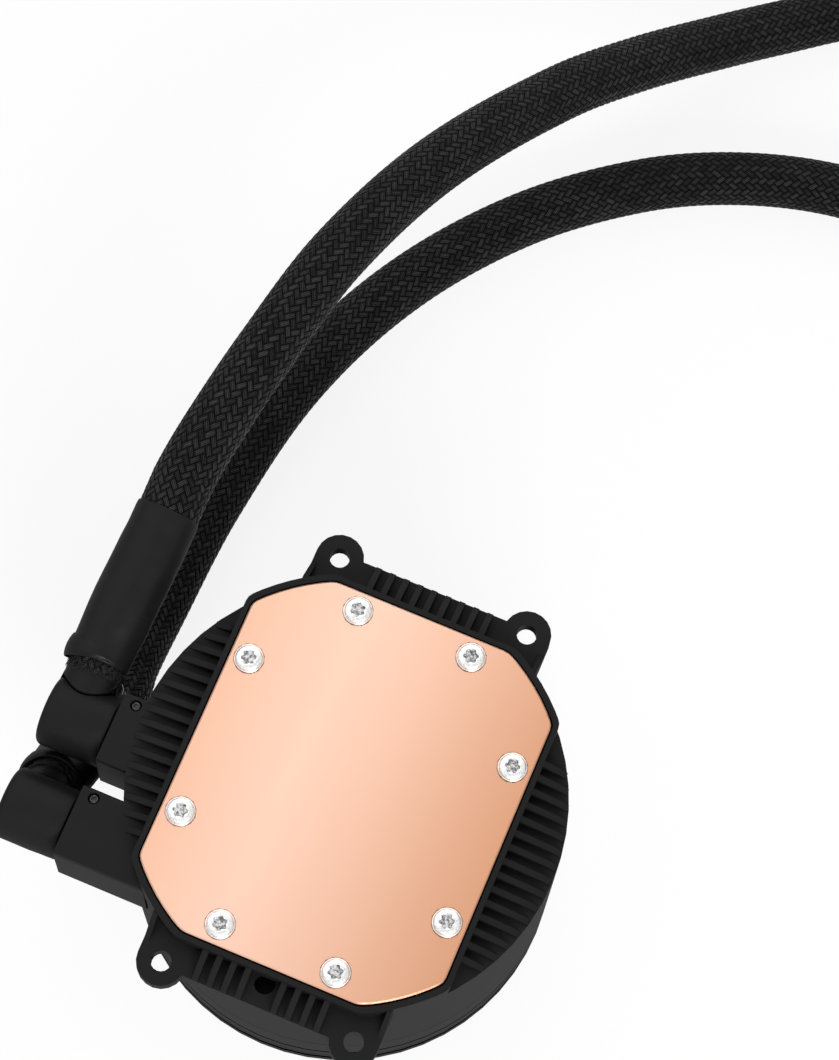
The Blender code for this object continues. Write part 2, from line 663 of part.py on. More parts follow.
def cut_fastener_holes(housing):
    screw_low = PUMP_HEIGHT - SCREW_SINK - SCREW_LENGTH - OVERLAP
    blind = [(0, BLIND_HOLE_INSET - BAR_HALF_LENGTH)]
    over_ear, over_arm = EAR_TOP + OVERLAP, ARM_TOP + OVERLAP
    holes = upright_holes(plate_screw_places(), SCREW_SHANK_RADIUS + SEAT, screw_low, LEDGE + OVERLAP, 10)
    holes += upright_holes(ear_places(), EAR_HOLE_RADIUS, EAR_TOP - EAR_THICKNESS - OVERLAP, over_ear, 16)
    holes += upright_holes(pin_places(), PIN_RADIUS + SEAT, ARM_TOP - PIN_LENGTH - 2 * SEAT, over_arm, 12)
    holes += upright_holes(blind, BLIND_HOLE_RADIUS, EAR_TOP - BLIND_HOLE_DEPTH, over_ear, 14)
    holes += upright_holes(can_screw_places(), CAN_SCREW_RADIUS + SEAT, WEB_LOW - OVERLAP,
                           WEB_LOW + CAN_SCREW_LENGTH, 12)
    cut(housing, merged(holes), "fastener holes")


def make_flow_plate(surface):
    """The thin plate that feeds water to the middle of the fins."""
    top = PLATE_LOW - FIN_HEIGHT - SEAT
    low = LEDGE - RECESS_DEPTH + SEAT
    outline = rectangle(RECESS_HALF_WIDTH - SEAT, RECESS_HALF_LENGTH - SEAT, 2.0)
    plate = add_object("flow_plate", prism(outline, low, top), surface)
    slot = rectangle(FIN_COUNT * FIN_PITCH / 2 - 2, JET_SLOT_HALF_WIDTH, 1.0)
    cut(plate, prism(slot, low - OVERLAP, top + OVERLAP), "jet slot")


def can_screw_places():
    return list(arc((0, 0), CAN_SCREW_CIRCLE, 30, 30 + 360 * (CAN_SCREWS - 1) / CAN_SCREWS, CAN_SCREWS - 1))


def make_chamber_cover(surface, screw_surface):
    """The cup that closes the pump chamber and keeps the rotor wet and the coils dry."""
    top = WEB_LOW - SEAT
    low = CAN_FLOOR - CAN_WALL
    inside = CAN_RADIUS - CAN_WALL
    socket = SHAFT_RADIUS + SEAT
    wall = socket + SHAFT_SOCKET_WALL
    socket_low, socket_top = CAN_FLOOR + SEAT / 2, CAN_FLOOR + SHAFT_SOCKET_HEIGHT
    flange_low = top - CAN_FLANGE_THICKNESS
    cup = ((0, socket_low), (socket, socket_low), (socket, socket_top), (wall, socket_top), (wall, CAN_FLOOR),
           (inside, CAN_FLOOR), (inside, top), (CAN_FLANGE_RADIUS, top), (CAN_FLANGE_RADIUS, flange_low),
           (CAN_RADIUS, flange_low), (CAN_RADIUS, low), (0, low))
    cover = add_object("chamber_cover", turned(cup, 20), surface)
    holes = upright_holes(can_screw_places(), CAN_SCREW_RADIUS + SEAT, flange_low - OVERLAP, top + OVERLAP, 12)
    cut(cover, merged(holes), "screw holes")
    under = flange_low - SEAT
    shank_top = under + CAN_SCREW_LENGTH
    head = 1.9 * CAN_SCREW_RADIUS
    profile = ((0, shank_top), (CAN_SCREW_RADIUS, shank_top), (CAN_SCREW_RADIUS, under),
               (head, under), (head, under - CAN_SCREW_HEAD_HEIGHT), (0, under - CAN_SCREW_HEAD_HEIGHT))
    for number, (x, y) in enumerate(can_screw_places(), 1):
        screw = add_object(f"chamber_cover_screw_{number}", turned(profile, 12), screw_surface)
        screw.location = Vector((x, y, 0)) * MM


def blade_outline(number):
    """One swept-back blade of the impeller, seen from above."""
    start = 360 * number / BLADES
    inner, outer = HUB_RADIUS * 0.8, IMPELLER_RADIUS - 0.3
    centre = []
    for step in range(BLADE_STEPS + 1):
        t = step / BLADE_STEPS
        angle = math.radians(start - BLADE_SWEEP * t)
        reach = inner + (outer - inner) * t
        centre.append(Vector((reach * math.cos(angle), reach * math.sin(angle))))
    left, right = [], []
    for index, point in enumerate(centre):
        ahead = centre[min(index + 1, BLADE_STEPS)] - centre[max(index - 1, 0)]
        across = Vector((-ahead.y, ahead.x)).normalized() * BLADE_THICKNESS / 2
        left.append(tuple(point + across))
        right.append(tuple(point - across))
    return left + right[::-1]


def make_impeller(finishes):
    bore = BUSH_RADIUS + SEAT
    magnet_low = CAN_FLOOR + SHAFT_SOCKET_HEIGHT + RUNNING_GAP
    disc_top = WEB_LOW + CHAMBER_HEIGHT - RUNNING_GAP - BLADE_HEIGHT
    disc_low = disc_top - IMPELLER_DISC
    profile = ((bore, disc_top), (IMPELLER_RADIUS, disc_top), (IMPELLER_RADIUS, disc_low),
               (HUB_RADIUS, disc_low), (HUB_RADIUS, magnet_low), (bore, magnet_low))
    impeller = add_object("impeller", turned(profile, 20), finishes["moulding"])
    blade_low, blade_top = disc_top - 0.5, disc_top + BLADE_HEIGHT
    blades = [prism(blade_outline(number), blade_low, blade_top) for number in range(BLADES)]
    join(impeller, merged(blades), "blades")
    outer = CAN_RADIUS - CAN_WALL - RUNNING_GAP
    inner = HUB_RADIUS + SEAT
    magnet_high = disc_low - MAGNET_DROP
    ring = ((inner, magnet_high), (outer, magnet_high), (outer, magnet_low), (inner, magnet_low))
    add_object("rotor_magnet", turned(ring, 20), finishes["magnet"])
    hole = SHAFT_RADIUS + SEAT
    bush = ((hole, disc_top - SEAT), (BUSH_RADIUS, disc_top - SEAT), (BUSH_RADIUS, magnet_low + SEAT),
            (hole, magnet_low + SEAT))
    add_object("rotor_bush", turned(bush, 16), finishes["magnet"])
    shaft_top = WEB_LOW + CHAMBER_HEIGHT - RUNNING_GAP
    shaft = cylinder(SHAFT_RADIUS, (0, 0, CAN_FLOOR + SEAT), (0, 0, shaft_top), 16)
    add_object("impeller_shaft", shaft, finishes["ceramic"])


def make_stator(finishes):
    low, top = STATOR_LOW, STATOR_LOW + STATOR_HEIGHT
    yoke_inner = STATOR_RADIUS - STATOR_YOKE
    yoke = ((yoke_inner, top), (STATOR_RADIUS, top), (STATOR_RADIUS, low), (yoke_inner, low))
    core = add_object("stator_core", turned(yoke, 24), finishes["steel"])
    tip = CAN_RADIUS + SEAT
    for number in range(STATOR_POLES):
        turn = Matrix.Rotation(math.pi * (2 * number + 1) / STATOR_POLES, 4, "Z")
        pole = box((tip + 0.6, -POLE_WIDTH / 2, low + 0.05),
                   (STATOR_RADIUS - 1.0, POLE_WIDTH / 2, top - 0.05))
        join(core, placed(pole, turn), f"pole {number + 1}")
        inner, outer = tip + 2.0, yoke_inner - 1.1
        coil_low, coil_top = low - COIL_BUILD, top + COIL_BUILD
        half = POLE_WIDTH / 2 + SEAT
        winding = rounded(((-half - COIL_BUILD, coil_low), (half + COIL_BUILD, coil_low),
                           (half + COIL_BUILD, coil_top), (-half - COIL_BUILD, coil_top)), 1.4, 2)
        outward = max(inner, (half + COIL_BUILD + SEAT) / math.tan(math.pi / STATOR_POLES))
        coil = add_object(f"stator_coil_{number + 1}", placed(prism(winding, outward, outer), turn @ ALONG_X),
                          finishes["winding"])
        opening = box((outward - OVERLAP, -half, low - SEAT), (outer + OVERLAP, half, top + SEAT))
        cut(coil, placed(opening, turn), "pole opening")


def make_board(surface):
    disc = cylinder(BOARD_RADIUS, (0, 0, HOUSING_LOW), (0, 0, BOARD_TOP), 28)
    board = add_object("circuit_board", disc, surface)
    notch = box((-6, BOARD_RADIUS - 3, HOUSING_LOW - OVERLAP), (6, BOARD_RADIUS + 3, BOARD_TOP + OVERLAP))
    cut(board, notch, "cable notch")


def make_drum_rings(finishes):
    """The trim ring and the flat cap, each with a thin rim that centres it in the ring above."""
    rim_outer = DRUM_INSIDE - SEAT
    rim_inner = rim_outer - REGISTER_WALL
    step = TRIM_LOW + REGISTER_HEIGHT + SEAT
    rim_top = TRIM_TOP + REGISTER_HEIGHT
    ring = ((DRUM_INSIDE, TRIM_LOW), (DRUM_INSIDE, step), (rim_inner, step), (rim_inner, rim_top),
            (rim_outer, rim_top), (rim_outer, TRIM_TOP), (DRUM_RADIUS, TRIM_TOP), (DRUM_RADIUS, TRIM_LOW))
    add_object("trim_ring", turned(ring, DRUM_STEPS), finishes["trim"])
    edge = [(DRUM_RADIUS - CAP_EDGE + x, CAP_EDGE + y) for x, y in arc((0, 0), CAP_EDGE, 0, -90, 3)]
    rim_top = CAP_HEIGHT + REGISTER_HEIGHT
    cup = [(0, DRUM_WALL), (rim_inner, DRUM_WALL), (rim_inner, rim_top), (rim_outer, rim_top),
           (rim_outer, CAP_HEIGHT), (DRUM_RADIUS, CAP_HEIGHT), *edge, (0, 0)]
    add_object("pump_cap", turned(cup, DRUM_STEPS), finishes["trim"])


def elbow_matrix(y, turn):
    """Where an elbow's own frame sits: its X along the port, its Y out of the mouth."""
    place = Matrix.Translation((-ARM_END, y, PORT_HEIGHT))
    return place @ Matrix.Rotation(math.radians(turn), 4, "X")


def set_place(item, matrix):
    matrix = matrix.copy()
    matrix.translation *= MM
    item.matrix_world = matrix
    bpy.context.view_layer.update()


def barb_profile(root):
    """A hose barb's outline from its tip down to its root: two ridges on a stem."""
    tip = NECK_LENGTH + BARB_LENGTH
    outline = [(0, tip), (BARB_RADIUS - 2 * SEAT, tip)]
    for ridge in (2, 1):
        at = NECK_LENGTH + BARB_LENGTH * ridge / 2.5
        outline += [(BARB_RADIUS - 0.1 * (2 - ridge), at + BARB_RIDGE_RUN), (BARB_RADIUS + SEAT, at),
                    (BARB_STEM_RADIUS, at - 0.2)]
    return [*outline, (BARB_STEM_RADIUS, root)]


def make_elbow(name, matrix, surface):
    """A swivel elbow: spigot with its seal and pin grooves, barrel body, side neck and hose barb."""
    spigot = PORT_BORE_RADIUS - SEAT
    seal_floor, pin_floor = spigot - SEAL_GROOVE_DEPTH, PIN_OFFSET - PIN_RADIUS - SEAT
    seal_high, seal_low = SEAL_GROOVE_HALF_WIDTH - SEAL_PLACE, -SEAL_GROOVE_HALF_WIDTH - SEAL_PLACE
    pin_high, pin_low = PIN_RADIUS + 2 * SEAT - PIN_INSET, -PIN_RADIUS - 2 * SEAT - PIN_INSET
    edge = arc((ELBOW_RADIUS - ELBOW_EASE, ELBOW_LENGTH - ELBOW_EASE), ELBOW_EASE, 90, 0, 3)
    body = ((0, ELBOW_LENGTH), *edge, (ELBOW_RADIUS, ELBOW_LENGTH - 7.5), (ELBOW_RADIUS - 0.15, SEAT),
            (spigot, SEAT), (spigot, pin_high), (pin_floor, pin_high), (pin_floor, pin_low), (spigot, pin_low),
            (spigot, seal_high), (seal_floor, seal_high), (seal_floor, seal_low), (spigot, seal_low),
            (spigot, -SPIGOT_LENGTH + 0.5), (spigot - 0.5, -SPIGOT_LENGTH), (0, -SPIGOT_LENGTH))
    outwards = Matrix.Rotation(math.radians(-90), 4, "Y")
    elbow = add_object(name, placed(turned(body, 20), outwards), surface)
    set_place(elbow, matrix)
    barb = barb_profile(NECK_LENGTH)
    barb += [(NECK_RADIUS - SEAT, NECK_LENGTH), (NECK_RADIUS, NECK_LENGTH - 0.4), (NECK_RADIUS, 0), (0, 0)]
    mouth = Matrix.Translation((-ELBOW_MOUTH, 0, 0)) @ Matrix.Rotation(math.radians(-90), 4, "X")
    join(elbow, placed(turned(barb, 14), mouth), "neck and barb")
    far, near = NECK_LENGTH + BARB_LENGTH + OVERLAP, SPIGOT_LENGTH + OVERLAP
    cut(elbow, cylinder(BORE_RADIUS, (-ELBOW_MOUTH, 0, 0), (-ELBOW_MOUTH, far, 0), 12), "hose way")
    cut(elbow, cylinder(BORE_RADIUS, (near, 0, 0), (-ELBOW_MOUTH - 1.0, 0, 0), 12), "port way")


def make_elbow_seal(name, y, surface):
    outer = PORT_BORE_RADIUS - SEAT - 0.05
    inner, half = outer - 1.0, SEAL_HALF_WIDTH
    ring = ((inner, half), (outer, 0.75 * half), (outer, -0.75 * half), (inner, -half))
    middle = Matrix.Translation((SEAL_PLACE - ARM_END, y, PORT_HEIGHT))
    stand = middle @ Matrix.Rotation(math.radians(90), 4, "Y")
    add_object(name, placed(turned(ring, 20), stand), surface)


def make_pins(surface):
    for (x, y), side in zip(pin_places(), ("upper", "lower")):
        top, low = ARM_TOP - PIN_SINK, ARM_TOP - PIN_LENGTH
        pin = add_object(f"retaining_pin_{side}", cylinder(PIN_RADIUS, (x, y, low), (x, y, top), 12), surface)
        cut(pin, prism(hexagon((x, y), PIN_RADIUS * 0.55), top - 0.6, top + OVERLAP), "hex socket")


def collar_shape(bend):
    """A shrink sleeve along +Y: straight over the barb, then bent by an angle towards +Z."""
    shape = bmesh.new()
    circle = arc((0, 0), COLLAR_RADIUS, 0, 340, 17)
    points = [shape.verts.new((x * MM, COLLAR_START * MM, z * MM)) for x, z in circle]
    raised = bmesh.ops.extrude_face_region(shape, geom=[shape.faces.new(points)])["geom"]
    corners = [part for part in raised if isinstance(part, bmesh.types.BMVert)]
    front = next(part for part in raised if isinstance(part, bmesh.types.BMFace))
    length = COLLAR_STRAIGHT if bend else COLLAR_LENGTH
    bmesh.ops.translate(shape, verts=corners, vec=(0, length * MM, 0))
    if bend:
        centre = Vector((0, COLLAR_START + COLLAR_STRAIGHT, COLLAR_CURVED / math.radians(bend))) * MM
        bmesh.ops.spin(shape, geom=[front, *front.edges, *corners], cent=centre, axis=(1, 0, 0),
                       angle=math.radians(bend), steps=4)
        bmesh.ops.remove_doubles(shape, verts=shape.verts, dist=0.001 * MM)
    return shape


def make_collar(name, matrix, bend, surface):
    collar = add_object(name, collar_shape(bend), surface)
    set_place(collar, matrix)
    end = COLLAR_START + BARB_LENGTH + SEAT
    cut(collar, cylinder(BARB_HOLE, (0, COLLAR_START - OVERLAP, 0), (0, end, 0), 14), "barb hole")


def collar_end(matrix, bend):
    """Where a collar's far face is, and the way the hose leaves it."""
    point, way = Vector((0, COLLAR_START + COLLAR_LENGTH, 0)), Vector((0, 1, 0))
    if bend:
        angle = math.radians(bend)
        radius = COLLAR_CURVED / angle
        point.y += radius * math.sin(angle) - COLLAR_CURVED
        point.z = radius * (1 - math.cos(angle))
        way = Vector((0, math.cos(angle), math.sin(angle)))
    return matrix @ point, matrix.to_3x3() @ way


def smooth_route(points):
    """A smooth curve through the points, read at even spacing. Its first and last stretch stay straight."""
    dense = []
    for index in range(1, len(points) - 2):
        before, a, b, after = points[index - 1:index + 3]
        reach = (b - a).length
        slope_a = (b - before).normalized() * reach
        slope_b = (after - a).normalized() * reach
        for step in range(12):
            t = step / 12
            dense.append(a * (2 * t ** 3 - 3 * t ** 2 + 1) + slope_a * (t ** 3 - 2 * t ** 2 + t)
                         + b * (3 * t ** 2 - 2 * t ** 3) + slope_b * (t ** 3 - t ** 2))
    dense.append(points[-2])
    lengths = [0.0]
    for a, b in zip(dense, dense[1:]):
        lengths.append(lengths[-1] + (b - a).length)
    count = round(lengths[-1] / HOSE_POINT_SPACING)
    route, index = [points[0]], 0
    for number in range(count + 1):
        wanted = lengths[-1] * number / count
        while index < len(lengths) - 2 and lengths[index + 1] < wanted:
            index += 1
        share = (wanted - lengths[index]) / (lengths[index + 1] - lengths[index])
        route.append(dense[index].lerp(dense[index + 1], min(1.0, share)))
    return [*route, points[-1]]


def make_hose(name, start, route, end, surface):
    """A round hose through the route's points, square to the collar faces at both ends."""
    (first, way_out), (last, way_in) = start, end
    points = [first + way_out * HOSE_START_GAP, first + way_out * HOSE_STRAIGHT]
    points += [Vector(point) for point in route]
    points += [last + way_in * HOSE_STRAIGHT, last + way_in * SEAT]
    curve = bpy.data.curves.new(name, "CURVE")
    curve.dimensions = "3D"
    curve.bevel_depth = HOSE_DIAMETER / 2 * MM
    curve.bevel_resolution = 4
    curve.use_fill_caps = True
    curve.twist_mode = "MINIMUM"
    places = smooth_route(points)
    line = curve.splines.new("POLY")
    line.points.add(len(places) - 1)
    for spot, place in zip(line.points, places):
        spot.co = (*(place * MM), 1.0)
    curve.materials.append(surface)
    hose = bpy.data.objects.new(name, curve)
    bpy.context.scene.collection.objects.link(hose)


def barb_y(side):
    return RADIATOR_MIDDLE_Y + side * BARB_SPACING / 2


def radiator_barb_matrix(side):
    """The frame of a radiator barb, whose +Y points back towards the pump."""
    face = RADIATOR_START - SEAT
    place = Matrix.Translation((face + NECK_LENGTH - HEX_LENGTH, barb_y(side), RADIATOR_THICKNESS / 2))
    return place @ Matrix.Rotation(math.radians(90), 4, "Z")


def make_radiator_barb(name, side, surface):
    stem, root = NECK_LENGTH - HEX_LENGTH - 6.0, NECK_LENGTH - 1.0
    profile = barb_profile(root) + [(BARB_SCREW_RADIUS, root), (BARB_SCREW_RADIUS, stem), (0, stem)]
    lying = Matrix.Rotation(math.radians(-90), 4, "X")
    barb = add_object(name, placed(turned(profile, 12), lying), surface)
    set_place(barb, radiator_barb_matrix(side))
    nut = prism(hexagon((0, 0), HEX_RADIUS), NECK_LENGTH - HEX_LENGTH, NECK_LENGTH)
    join(barb, placed(nut, lying), "hexagon")
    tip = NECK_LENGTH + BARB_LENGTH + OVERLAP
    cut(barb, cylinder(BORE_RADIUS, (0, stem - OVERLAP, 0), (0, tip, 0), 16), "water way")


def make_tank(name, start, surface):
    """An end tank: a pressed box with round edges, open towards the core."""
    low, top = TANK_INSET, RADIATOR_THICKNESS - TANK_INSET
    half = RADIATOR_WIDTH / 2 - FRAME_SHEET - SEAT
    section = rounded(((RADIATOR_MIDDLE_Y - half, low), (RADIATOR_MIDDLE_Y + half, low),
                       (RADIATOR_MIDDLE_Y + half, top), (RADIATOR_MIDDLE_Y - half, top)), TANK_EDGE, 3)
    return add_object(name, placed(prism(section, start, start + TANK_LENGTH), ALONG_X), surface)


def hollow_tank(tank, low_x, high_x):
    low, top = TANK_INSET + TANK_WALL, RADIATOR_THICKNESS - TANK_INSET - TANK_WALL
    half = RADIATOR_WIDTH / 2 - FRAME_SHEET - SEAT - TANK_WALL
    inside = box((low_x, RADIATOR_MIDDLE_Y - half, low), (high_x, RADIATOR_MIDDLE_Y + half, top))
    cut(tank, inside, "inside")


def make_radiator(finishes):
    surface = finishes["radiator"]
    end = RADIATOR_START + RADIATOR_LENGTH
    front = make_tank("radiator_tank_front", RADIATOR_START, surface)
    hollow_tank(front, RADIATOR_START + TANK_WALL, RADIATOR_START + TANK_LENGTH + OVERLAP)
    before, through = RADIATOR_START - OVERLAP, RADIATOR_START + TANK_WALL + OVERLAP
    holes = [cylinder(BARB_SCREW_RADIUS + SEAT, (before, barb_y(side), RADIATOR_THICKNESS / 2),
                      (through, barb_y(side), RADIATOR_THICKNESS / 2), 14) for side in (-1, 1)]
    cut(front, merged(holes), "barb holes")
    rear = make_tank("radiator_tank_rear", end - TANK_LENGTH, surface)
    hollow_tank(rear, end - TANK_LENGTH - OVERLAP, end - TANK_WALL)
    middle = (RADIATOR_MIDDLE_Y, RADIATOR_THICKNESS / 2)
    hole = cylinder(PLUG_RADIUS - 1.0 + SEAT, (end - PLUG_DEPTH, *middle), (end + OVERLAP, *middle), 14)
    cut(rear, hole, "plug hole")
    make_plug(end, middle, finishes["steel"])
    make_core(finishes)
    make_side_frames(surface)
    make_radiator_barb("radiator_barb_upper", 1, finishes["steel"])
    make_radiator_barb("radiator_barb_lower", -1, finishes["steel"])


def make_plug(face, middle, surface):
    """A low round plug with a hexagon socket, screwed into the rear tank."""
    shank = PLUG_RADIUS - 1.0
    profile = ((0, PLUG_LENGTH), (PLUG_RADIUS - 0.4, PLUG_LENGTH), (PLUG_RADIUS, PLUG_LENGTH - 0.4),
               (PLUG_RADIUS, SEAT), (shank, SEAT), (shank, -PLUG_DEPTH), (0, -PLUG_DEPTH))
    stand = Matrix.Translation((face, *middle)) @ Matrix.Rotation(math.radians(90), 4, "Y")
    plug = add_object("radiator_plug", placed(turned(profile, 16), stand), surface)
    socket = prism(hexagon((0, 0), PLUG_SOCKET_RADIUS), 0.2, PLUG_LENGTH + OVERLAP)
    cut(plug, placed(socket, stand), "hex socket")


def make_core(finishes):
    """Flat water tubes with the fin packs set back between them, brazed into one block."""
    low = (RADIATOR_THICKNESS - CORE_THICKNESS) / 2
    high = low + CORE_THICKNESS
    half = RADIATOR_WIDTH / 2 - FRAME_SHEET - SEAT
    pitch = (2 * half - CORE_TUBE_THICKNESS) / (CORE_TUBES - 1)
    top, bottom = [], []
    for number in range(CORE_TUBES):
        left = RADIATOR_MIDDLE_Y - half + number * pitch
        right = left + CORE_TUBE_THICKNESS
        top += [(left, high - CORE_FIN_INSET), (left, high), (right, high), (right, high - CORE_FIN_INSET)]
        bottom += [(left, low + CORE_FIN_INSET), (left, low), (right, low), (right, low + CORE_FIN_INSET)]
    section = top[1:-1] + bottom[1:-1][::-1]
    start = RADIATOR_START + TANK_LENGTH + SEAT
    end = RADIATOR_START + RADIATOR_LENGTH - TANK_LENGTH - SEAT
    add_object("radiator_core", placed(prism(section, start, end), ALONG_X), finishes["radiator"])


def make_side_frames(surface):
    """Two folded channels along the core, with flanges and holes for the fans' screws."""
    for side, name in ((-1, "radiator_frame_right"), (1, "radiator_frame_left")):
        outer = side * RADIATOR_WIDTH / 2
        inner = side * (RADIATOR_WIDTH / 2 - FRAME_SHEET)
        edge = side * (RADIATOR_WIDTH / 2 - FRAME_FLANGE)
        sheet = TANK_INSET - SEAT
        top = RADIATOR_THICKNESS
        channel = [(outer, 0), (outer, top), (edge, top), (edge, top - sheet), (inner, top - sheet),
                   (inner, sheet), (edge, sheet), (edge, 0)]
        channel = [(RADIATOR_MIDDLE_Y + y, z) for y, z in channel]
        length = prism(channel, RADIATOR_START, RADIATOR_START + RADIATOR_LENGTH)
        frame = add_object(name, placed(length, ALONG_X), surface)
        middle_x = RADIATOR_START + RADIATOR_LENGTH / 2
        holes = []
        for end in (-1, 1):
            x = middle_x + end * FRAME_HOLE_SPACING / 2
            y = RADIATOR_MIDDLE_Y + side * FRAME_HOLE_SPACING / 2
            holes.append(cylinder(FRAME_HOLE_RADIUS, (x, y, -OVERLAP), (x, y, top + OVERLAP), 10))
        cut(frame, merged(holes), "fan screw holes")


def main():
    clear_scene()
    finishes = make_finishes()
    make_cold_plate(finishes["copper"])
    make_plate_screws(finishes["steel"])
    make_gasket(finishes["rubber"])
    make_housing(finishes["moulding"])
    make_flow_plate(finishes["moulding"])
    make_chamber_cover(finishes["moulding"], finishes["steel"])
    make_impeller(finishes)
    make_stator(finishes)
    make_board(finishes["board"])
    make_drum_rings(finishes)
    make_pins(finishes["steel"])
    make_radiator(finishes)
    bend = math.degrees(COLLAR_CURVED / COLLAR_BEND_RADIUS)
    for name, y, turn, curve, route, side in (
            ("upper", PORT_Y[0], UPPER_ELBOW_TURN, 0.0, UPPER_ROUTE, 1),
            ("lower", PORT_Y[1], LOWER_ELBOW_TURN, bend, LOWER_ROUTE, -1)):
        matrix = elbow_matrix(y, turn)
        make_elbow(f"elbow_{name}", matrix, finishes["moulding"])
        make_elbow_seal(f"elbow_seal_{name}", y, finishes["rubber"])
        mouth = matrix @ Matrix.Translation((-ELBOW_MOUTH, 0, 0))
        make_collar(f"hose_collar_{name}", mouth, curve, finishes["rubber"])
        barb = radiator_barb_matrix(side)
        make_collar(f"radiator_collar_{name}", barb, 0.0, finishes["rubber"])
        make_hose(f"hose_{name}", collar_end(mouth, curve), route, collar_end(barb, 0.0), finishes["braid"])


main()
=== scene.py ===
"""The looks of a sealed liquid cooler: camera, light, finishes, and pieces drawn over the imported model."""

import json
import math

import bpy
import numpy as np
from mathutils import Matrix, Vector

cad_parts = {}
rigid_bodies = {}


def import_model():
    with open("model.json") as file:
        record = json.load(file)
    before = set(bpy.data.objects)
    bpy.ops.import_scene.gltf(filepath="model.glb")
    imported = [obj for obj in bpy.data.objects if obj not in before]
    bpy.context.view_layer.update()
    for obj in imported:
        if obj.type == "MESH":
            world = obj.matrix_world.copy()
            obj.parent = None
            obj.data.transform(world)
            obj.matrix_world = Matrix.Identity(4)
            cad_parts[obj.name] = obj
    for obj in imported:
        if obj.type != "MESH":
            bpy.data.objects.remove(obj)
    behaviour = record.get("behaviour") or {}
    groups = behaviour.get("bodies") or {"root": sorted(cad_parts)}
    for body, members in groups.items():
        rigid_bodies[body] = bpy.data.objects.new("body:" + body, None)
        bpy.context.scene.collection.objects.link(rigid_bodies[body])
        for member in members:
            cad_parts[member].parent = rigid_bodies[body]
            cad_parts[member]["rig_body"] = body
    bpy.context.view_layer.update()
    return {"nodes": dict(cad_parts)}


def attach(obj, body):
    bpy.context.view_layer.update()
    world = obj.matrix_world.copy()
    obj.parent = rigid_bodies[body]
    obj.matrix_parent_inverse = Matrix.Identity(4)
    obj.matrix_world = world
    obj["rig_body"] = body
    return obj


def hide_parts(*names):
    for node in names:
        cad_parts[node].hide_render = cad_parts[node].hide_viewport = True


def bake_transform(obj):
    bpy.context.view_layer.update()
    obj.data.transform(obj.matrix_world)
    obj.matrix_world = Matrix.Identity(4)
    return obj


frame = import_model()

MM = 0.001
NODES = frame["nodes"]

# Places of the part, in millimetres
ARM_END = 41.5
PORT_HEIGHT = 40.7
PORTS = {"upper": (-4.4, 8.0), "lower": (-21.9, -48.01)}
ELBOW_MOUTH = 6.4
BARREL_RADIUS = 6.35
BARREL_LENGTH = 12.0
NECK_OUT = 0.8
SLEEVE_OUT = 1.1
COLLAR_START = 10.4
COLLAR_LENGTH = 28.7
COLLAR_STRAIGHT = 14.6
COLLAR_BEND_RADIUS = 50.0
PIN_PLACES = ((-39.0, 0.4), (-39.0, -17.1))
PIN_RADIUS = 0.75
PIN_LENGTH = 8.5
PIN_SINK = 0.5
ARM_TOP = 47.35
PLATE_TOP = 52.0
SCREW_PLACES = [(side * x, end * y) for x, y in ((10.395, 29.30), (24.10, 14.36))
                for side in (-1, 1) for end in (-1, 1)]
RADIATOR_START = 148.0
RADIATOR_MIDDLE_Y = 165.0
RADIATOR_HEIGHT = 13.5
BARB_PLACES = {"upper": 196.0, "lower": 134.0}
BARB_REACH = 6.8  # from the tank's face inwards to the start of the barb's own frame
NUT_RADIUS = 7.6
NUT_LENGTH = 3.0
NUT_MIDDLE = 8.6
TUBES = 13
TUBE_PITCH = 9.583
TUBE_THICKNESS = 2.0
CORE_DEPTH = 20.0
CORE_START = 165.8
CORE_LENGTH = 121.4
HEADER_SIZE = (1.4, 116.0, 23.6)
FIN_FOLDS = 96
FIN_DEPTH = 18.4

# Turned pieces, as rings of (radius, height) in millimetres. The screw's heights count from the plate
NECK_RINGS = ((4.95, 2.0), (4.95, 5.8), (4.9, 6.6), (4.82, 7.2), (4.8, 9.6))
SCREW_RINGS = ((0.3, 0.95), (1.45, 0.94), (1.85, 0.88), (2.1, 0.74), (2.28, 0.52), (2.36, 0.36), (2.5, 0.3),
               (2.53, 0.2), (2.53, 0.06), (2.4, 0.03), (2.4, -0.2), (1.25, -0.2), (1.25, -9.0), (0.3, -9.2))
BARB_RINGS = ((4.4, 1.2), (4.4, 9.1), (3.0, 9.1), (3.0, 15.3), (3.6, 15.54), (3.2, 17.7), (3.0, 17.74),
              (3.0, 20.8), (3.6, 20.98), (3.25, 23.2), (2.7, 23.7), (2.3, 23.7), (2.3, 12.0))

# A shrink sleeve's radius at distances from its start, and the flare of its rim
SLEEVE_SHAPE = ((0.0, 5.5), (0.4, 5.6), (1.5, 5.64), (3.4, 5.58), (4.8, 5.64), (6.6, 5.8), (9.0, 5.88),
                (12.0, 5.86), (15.0, 5.84), (19.0, 5.82), (23.0, 5.8), (26.0, 5.76), (27.8, 5.72),
                (28.5, 5.66), (28.7, 5.5), (28.72, 5.3))
FLARE = 0.27
FLARE_MIDDLE = 0.9
FLARE_REACH = 0.85

# Frayed yarn around a hose end, in millimetres
YARN_ENDS = 420
YARN_START_RADIUS = 4.95
YARN_RADIUS = 0.05
WHITE_YARN_RADIUS = 0.045
WHITE_YARN = (((4.9, 8.3, 2.9), (5.5, 7.6, 3.3), (5.6, 6.7, 3.3)), ((5.8, 7.4, 2.6), (6.0, 6.9, 2.8)))

# The photograph's view, in metres: where the camera stands, and its right, up and back
CAMERA_PLACE = (0.04829, -0.13082, 0.6578)
CAMERA_AXES = (Vector((0.92241, 0.38506, 0.02969)), Vector((-0.37646, 0.87933, 0.29165)),
               Vector((0.08619, -0.28020, 0.95606)))

